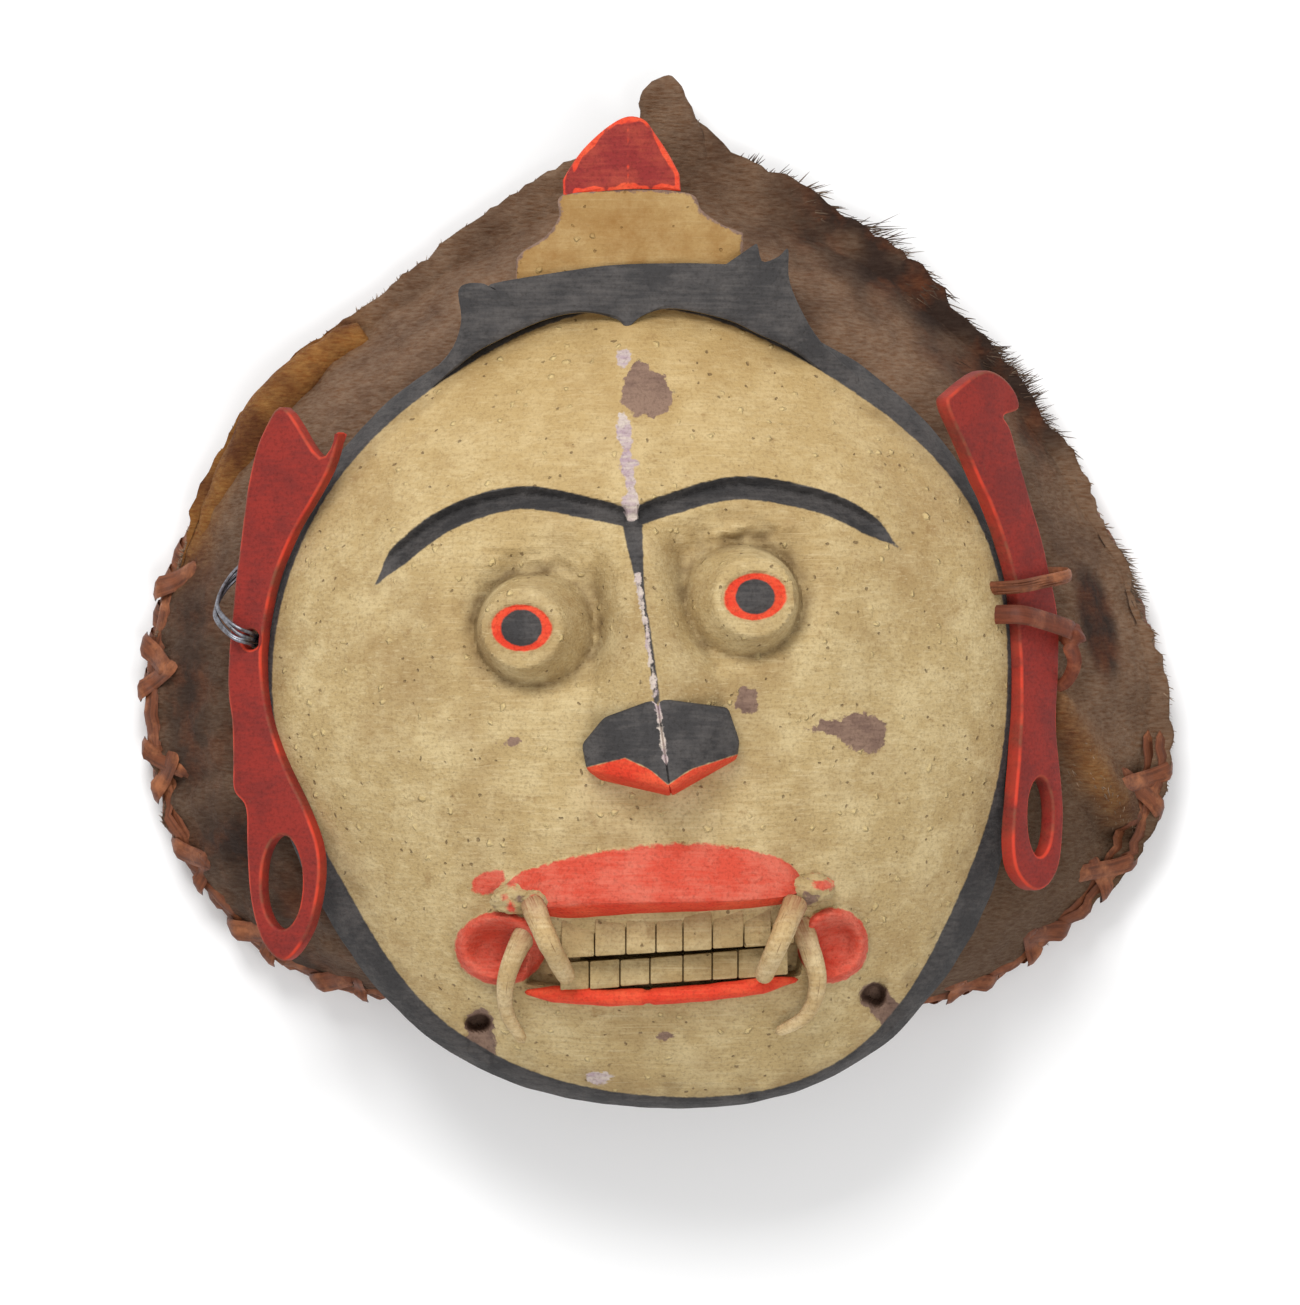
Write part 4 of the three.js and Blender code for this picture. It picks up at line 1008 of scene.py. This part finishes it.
def skin_marks(x, y):
    """How golden, dark-haired and bare the skin is at places on it."""
    turn = np.degrees(np.arctan2(y, x)) % 360
    reach = np.hypot(x, y) / hide_edge(np.radians(turn))
    fold_gap, _ = from_line(x, y, fold_line)
    flap_gold = ease(0.9, 0.99, reach) * ease(122, 130, turn) * ease(168, 160, turn)
    gold = np.maximum(flap_gold, 0.75 * np.exp(-((fold_gap / 6) ** 2)))
    mane = ease(0.84, 0.98, reach + 0.1 * lumps(x, y, 12.0, 4.0)) * ease(27, 36, turn) * ease(80, 68, turn)
    flank = ease(1.2, 0.6, in_oval(x, y, 157, 30, 7, 22, 0.25))
    left = ease(150, 172, turn) * ease(262, 240, turn) * (0.6 + 0.5 * lumps(x, y, 18.0, 6.0))
    bare = ease(285, 292, turn) * ease(356, 345, turn)
    return gold, np.clip(np.max([mane, flank, left], axis=0), 0, 1), bare


made = bmesh.ops.create_grid(bm, x_segments=AROUND, y_segments=ACROSS, size=0.5, calc_uvs=True)["verts"]
turn, share = (np.array([p.co.xy for p in made]) + 0.5).T
for p, place in zip(made, on_hide(turn * math.tau, share)):
    p.co = place
bmesh.ops.remove_doubles(bm, verts=made, dist=0.002)
FLAP = (
    (-95, 131, -43), (-108, 124, -42), (-125, 106, -41), (-138, 84, -42), (-147, 62, -44), (-152, 46, -47),
)
flap_line = smooth_line(FLAP, 61)


def curled_flap(s, t):
    """The skin's dried edge, rolled up and inwards along the upper left."""
    middle = flap_line[round(t * 60)]
    roll = 3.0 + 3.0 * noise.noise((t * 5, 0.4, 3)) + 4.5 * math.sin(t * math.pi)
    bend = -0.9 + s * (3.4 + 0.8 * noise.noise((t * 7, 1.4, 5)))
    away = Vector((middle[0], middle[1], 0)).normalized()
    ripple = 1.2 * noise.noise((t * 14, s * 3, 1))
    outwards = away * ((roll + ripple) * math.cos(bend) - 2)
    return Vector(middle) + outwards + Vector((0, 0, roll * math.sin(bend)))


flap = add_patch(bm, 20, 60, curled_flap)
all_marks = skin_marks(*np.array([p.co.xy for p in bm.verts]).T)
for name, values in zip(SKIN_MARKS, all_marks):
    for p, value in zip(bm.verts, values):
        p[hide_marks[name]] = value
for p in flap:
    p[hide_marks["gold"]] = 1.0
    p[hide_marks["dark"]] = 0.0
stub = smooth_line(((17, 170, -50), (14, 186, -48.5), (11, 201, -45), (8, 212, -42), (5, 217, -41)), 26)
stub_width = rounded(26, 15.0, 5.6, 3) * [1 + 0.12 * noise.noise((k / 3, 2.0, 1.0)) for k in range(26)]
add_rod(bm, stub, stub_width, sides=18, flat=0.36)

raw_skin, tree, shader = new_material("raw_skin", 0.85)
spot = node(tree, "TexCoord").outputs["Object"]
marks = {name: node(tree, "Attribute", attribute_name=name).outputs["Fac"] for name in SKIN_MARKS}
broad, fine = cloud(tree, spot, 34.0, 6.0, 0.65), cloud(tree, spot, 620.0, 5.0, 0.7)
nap = cloud(tree, stretch(tree, spot, (260, 1100, 300), 0.8), 1.0, 4.0, 0.6)
colour = blend_colour(tree, between(tree, broad, 0.35, 0.68), shade((142, 116, 94)), shade((102, 79, 62)))
colour = tint(tree, colour, marks["bare"], 0.8, (104, 82, 62))
smoked = between(tree, cloud(tree, spot, 60.0, 5.0, 0.6), 0.45, 0.65)
ruddy = blend_colour(tree, smoked, shade((58, 42, 33)), shade((104, 62, 38)))
colour = blend_colour(tree, marks["dark"], colour, ruddy)
amber = blend_colour(tree, between(tree, broad, 0.4, 0.6), shade((158, 112, 58)), shade((108, 66, 32)))
colour = blend_colour(tree, marks["gold"], colour, amber)
colour = blend_colour(tree, between(tree, nap, 0.35, 0.7), colour, shade((140, 118, 98)), "SOFT_LIGHT")
colour = blend_colour(tree, times(tree, fine, 0.5), colour, shade((90, 72, 58)), "MULTIPLY")
lit(tree, shader, colour, plus(tree, nap, fine), 0.7, 0.0009)

BLADES = 17000
coat_hair = bmesh.new()
bmesh.ops.create_grid(coat_hair, x_segments=2 * BLADES - 1, y_segments=2, size=0.5)
columns = 2 * BLADES - 1
spare = [f for k, f in enumerate(coat_hair.faces) if (k % columns) % 2]
bmesh.ops.delete(coat_hair, geom=spare, context="FACES_ONLY")
bmesh.ops.delete(coat_hair, geom=[e for e in coat_hair.edges if not e.link_faces], context="EDGES")
tone_layer = coat_hair.verts.layers.float.new("tone")
coat_hair.verts.ensure_lookup_table()
draw = np.random.default_rng(23)
turn = np.radians(draw.uniform(-48, 235, BLADES))
share = 0.3 + 0.7 * draw.random(BLADES) ** 0.7
root = on_hide(turn, share)
gold, dark, bare = skin_marks(root[:, 0], root[:, 1])
ahead = on_hide(turn, np.minimum(share + 0.03, 1.0)) - on_hide(turn, share - 0.03)
ahead /= np.linalg.norm(ahead, axis=1)[:, None]
sideways = np.stack((-np.sin(turn), np.cos(turn), np.zeros(BLADES)), axis=1)
swirl = 1.3 * lumps(root[:, 0], root[:, 1], 45.0, 12.0) - 0.5 - 0.7 * dark + draw.normal(0, 0.28, BLADES)
comb = ahead * np.cos(swirl)[:, None] + sideways * np.sin(swirl)[:, None]
TUFTS = ((41, 191, 9), (82, 168, 7), (160, 51, 5), (166, 41, 4), (110, 118, 6), (165, -23, 4))
tuft = np.max([
    np.exp(-(((root[:, 0] - x) / 7) ** 2) - ((root[:, 1] - y) / 7) ** 2) * size for x, y, size in TUFTS
], axis=0)
length = draw.uniform(2.0, 5.0, BLADES) + dark * draw.uniform(0.0, 4.5, BLADES) * (turn < 2.5) + tuft
length = np.where((bare > 0.4) | (gold > 0.4) | (turn > 2.65), 0.5 * length, length)
length = np.where((share > 0.95) & (dark < 0.3), 0.35 * length, length)
width = np.cross(comb, (0, 0, 1.0))
width *= (draw.uniform(0.12, 0.27, BLADES) / np.linalg.norm(width, axis=1))[:, None]
lift = draw.uniform(0.2, 0.7, BLADES) + 0.06 * tuft
tone = np.clip(draw.normal(0.5, 0.17, BLADES) - 0.5 * dark - 0.1 * tuft + 0.25 * gold, 0, 1)
row = 2 * BLADES
for step, (raise_by, thin) in enumerate(((0.0, 1.0), (1.3, 0.8), (0.8, 0.15))):
    spine = root + comb * (length * step / 2)[:, None]
    spine[:, 2] += lift * raise_by
    for side in (-1, 1):
        for k, place in enumerate(spine + width * side * thin):
            p = coat_hair.verts[step * row + 2 * k + (side + 1) // 2]
            p.co = place
            p[tone_layer] = tone[k]

fur, tree, shader = new_material("fur", 0.6)
tone = node(tree, "Attribute", attribute_name="tone").outputs["Fac"]
spot = node(tree, "TexCoord").outputs["Object"]
colour = blend_colour(tree, tone, shade((38, 27, 22)), shade((152, 128, 104)))
broken = cloud(tree, spot, 300.0, 3.0)
colour = tint(tree, colour, broken, 0.5, (104, 76, 52))
lit(tree, shader, colour, broken, 0.2)

hair_piece = put(coat_hair, "hide_hair", fur, "hide")
hide_piece = put(bm, "hide_skin", raw_skin, "hide", "hide_cover", sharp=1.2)
wall = hide_piece.modifiers.new("Thickness", "SOLIDIFY")
wall.thickness = HIDE_THICK / 1000
wall.offset = -1.0

# The bound rim: a stout rattan hoop on which the mask lies, wound with strips of split cane.
# More strips cross over the hide's edge and lace it to the hoop.
RIM_RADIUS, WRAP_RADIUS, WRAPS = 4.7, 5.0, 92
RIM_HEIGHT = -58.0


def on_rim(turns):
    """Points of the hoop's middle line."""
    away = rim_line(turns)
    return np.stack((away * np.cos(turns), away * np.sin(turns), np.full(turns.shape, RIM_HEIGHT)), axis=1)


bm = start()
add_rod(bm, on_rim(np.linspace(0.0, math.tau, 181)), RIM_RADIUS, sides=8, closed=True)
around = np.linspace(0.0, math.tau, 15)
for k in range(WRAPS):
    turn = (k + rng.uniform(-0.12, 0.12)) / WRAPS * math.tau
    slant = (0.016 + rng.uniform(-0.006, 0.006)) * np.sin(around)
    level = np.cos(around)
    out = np.stack((level * math.cos(turn), level * math.sin(turn), np.sin(around)), axis=1)
    wrap = on_rim(turn + slant) + out * WRAP_RADIUS
    add_rod(bm, wrap, rng.uniform(2.7, 3.7), sides=4, flat=0.25, up=out, closed=True)


def lace(turn, step, inside):
    """One strip of the lacing, from the rim's outer side up over the skin's edge to its hole further in."""
    places = np.array([turn, turn + 0.1 * step, turn + 0.35 * step, turn + 0.7 * step, turn + step])
    skin_place = on_hide(places, np.array([1.0, 1.0, 0.9, inside, inside - 0.04]))
    radii = np.hypot(skin_place[:, 0], skin_place[:, 1])
    outside = rim_line(places) + 6.0
    radii[:2] = np.maximum(radii[:2], outside[:2]) + (0.5, 0.0)
    heights = skin_place[:, 2] + (-8.0, 1.0, 3.6, 2.6, -1.0)
    heights[0] = RIM_HEIGHT
    return smooth_line(np.stack((radii * np.cos(places), radii * np.sin(places), heights), axis=1), 16)


def lay_strip(strip, half):
    out = strip / np.linalg.norm(strip, axis=1)[:, None]
    out[:, 2] = 1.0
    out /= np.linalg.norm(out, axis=1)[:, None]
    count = len(strip)
    add_rod(bm, strip, rounded(count, half, half * 0.85, 1), sides=6, flat=0.28, up=out)


for first, last, gap in ((-58, -4, 5.2), (166, 236, 6.0)):
    for k, turn in enumerate(np.radians(np.arange(first, last, gap))):
        step = math.radians(4.6 if k % 2 else -4.6) + rng.uniform(-0.02, 0.02)
        lay_strip(lace(turn, step, rng.uniform(0.66, 0.74)), rng.uniform(3.2, 4.1))
    for share in (0.84, 0.93):
        turns = np.radians(np.linspace(first - 2, last + 2, 60))
        runner = on_hide(turns, share + 0.025 * np.sin(turns * 40))
        runner[:, 2] += 1.6 + 0.9 * np.sin(turns * 69)
        lay_strip(runner, 3.0)
put(bm, "bound_rim_wound", cane, "rattan", "bound_rim")

# The studio: a plain pale floor, soft light from all round and a camera straight above the face.
bm = bmesh.new()
bmesh.ops.create_grid(bm, x_segments=1, y_segments=1, size=3.0)
mesh = bpy.data.meshes.new("floor")
bm.to_mesh(mesh)
bm.free()
floor = bpy.data.objects.new("floor", mesh)
bpy.context.scene.collection.objects.link(floor)
pale, tree, shader = new_material("pale_floor", 0.95)
shader.inputs["Base Color"].default_value = (0.93, 0.93, 0.93, 1)
mesh.materials.append(pale)

world = bpy.data.worlds.new("studio")
bpy.context.scene.world = world
world.use_nodes = True
world.node_tree.nodes["Background"].inputs["Color"].default_value = (1, 1, 1, 1)
world.node_tree.nodes["Background"].inputs["Strength"].default_value = 0.6


def soft_light(name, at, size, power):
    lamp = bpy.data.lights.new(name, "AREA")
    lamp.size = size
    lamp.energy = power
    made = bpy.data.objects.new(name, lamp)
    made.location = at
    made.rotation_euler = (-Vector(at)).to_track_quat("-Z", "Y").to_euler()
    bpy.context.scene.collection.objects.link(made)


KEY_AT, FILL_AT = (-0.45, 1.4, 2.0), (0.4, -0.9, 2.6)
CAMERA_AT, LENS_MM, SENSOR_MM = (-0.0011, -0.0223, 4.0), 319.7, 36.0
soft_light("key", KEY_AT, 1.0, 42)
soft_light("fill", FILL_AT, 1.2, 24)

lens = bpy.data.cameras.new("camera")
lens.sensor_fit = "HORIZONTAL"
lens.sensor_width = SENSOR_MM
lens.lens = LENS_MM
camera = bpy.data.objects.new("camera", lens)
camera.location = CAMERA_AT
bpy.context.scene.collection.objects.link(camera)
bpy.context.scene.camera = camera
bpy.context.scene.view_settings.view_transform = "Standard"
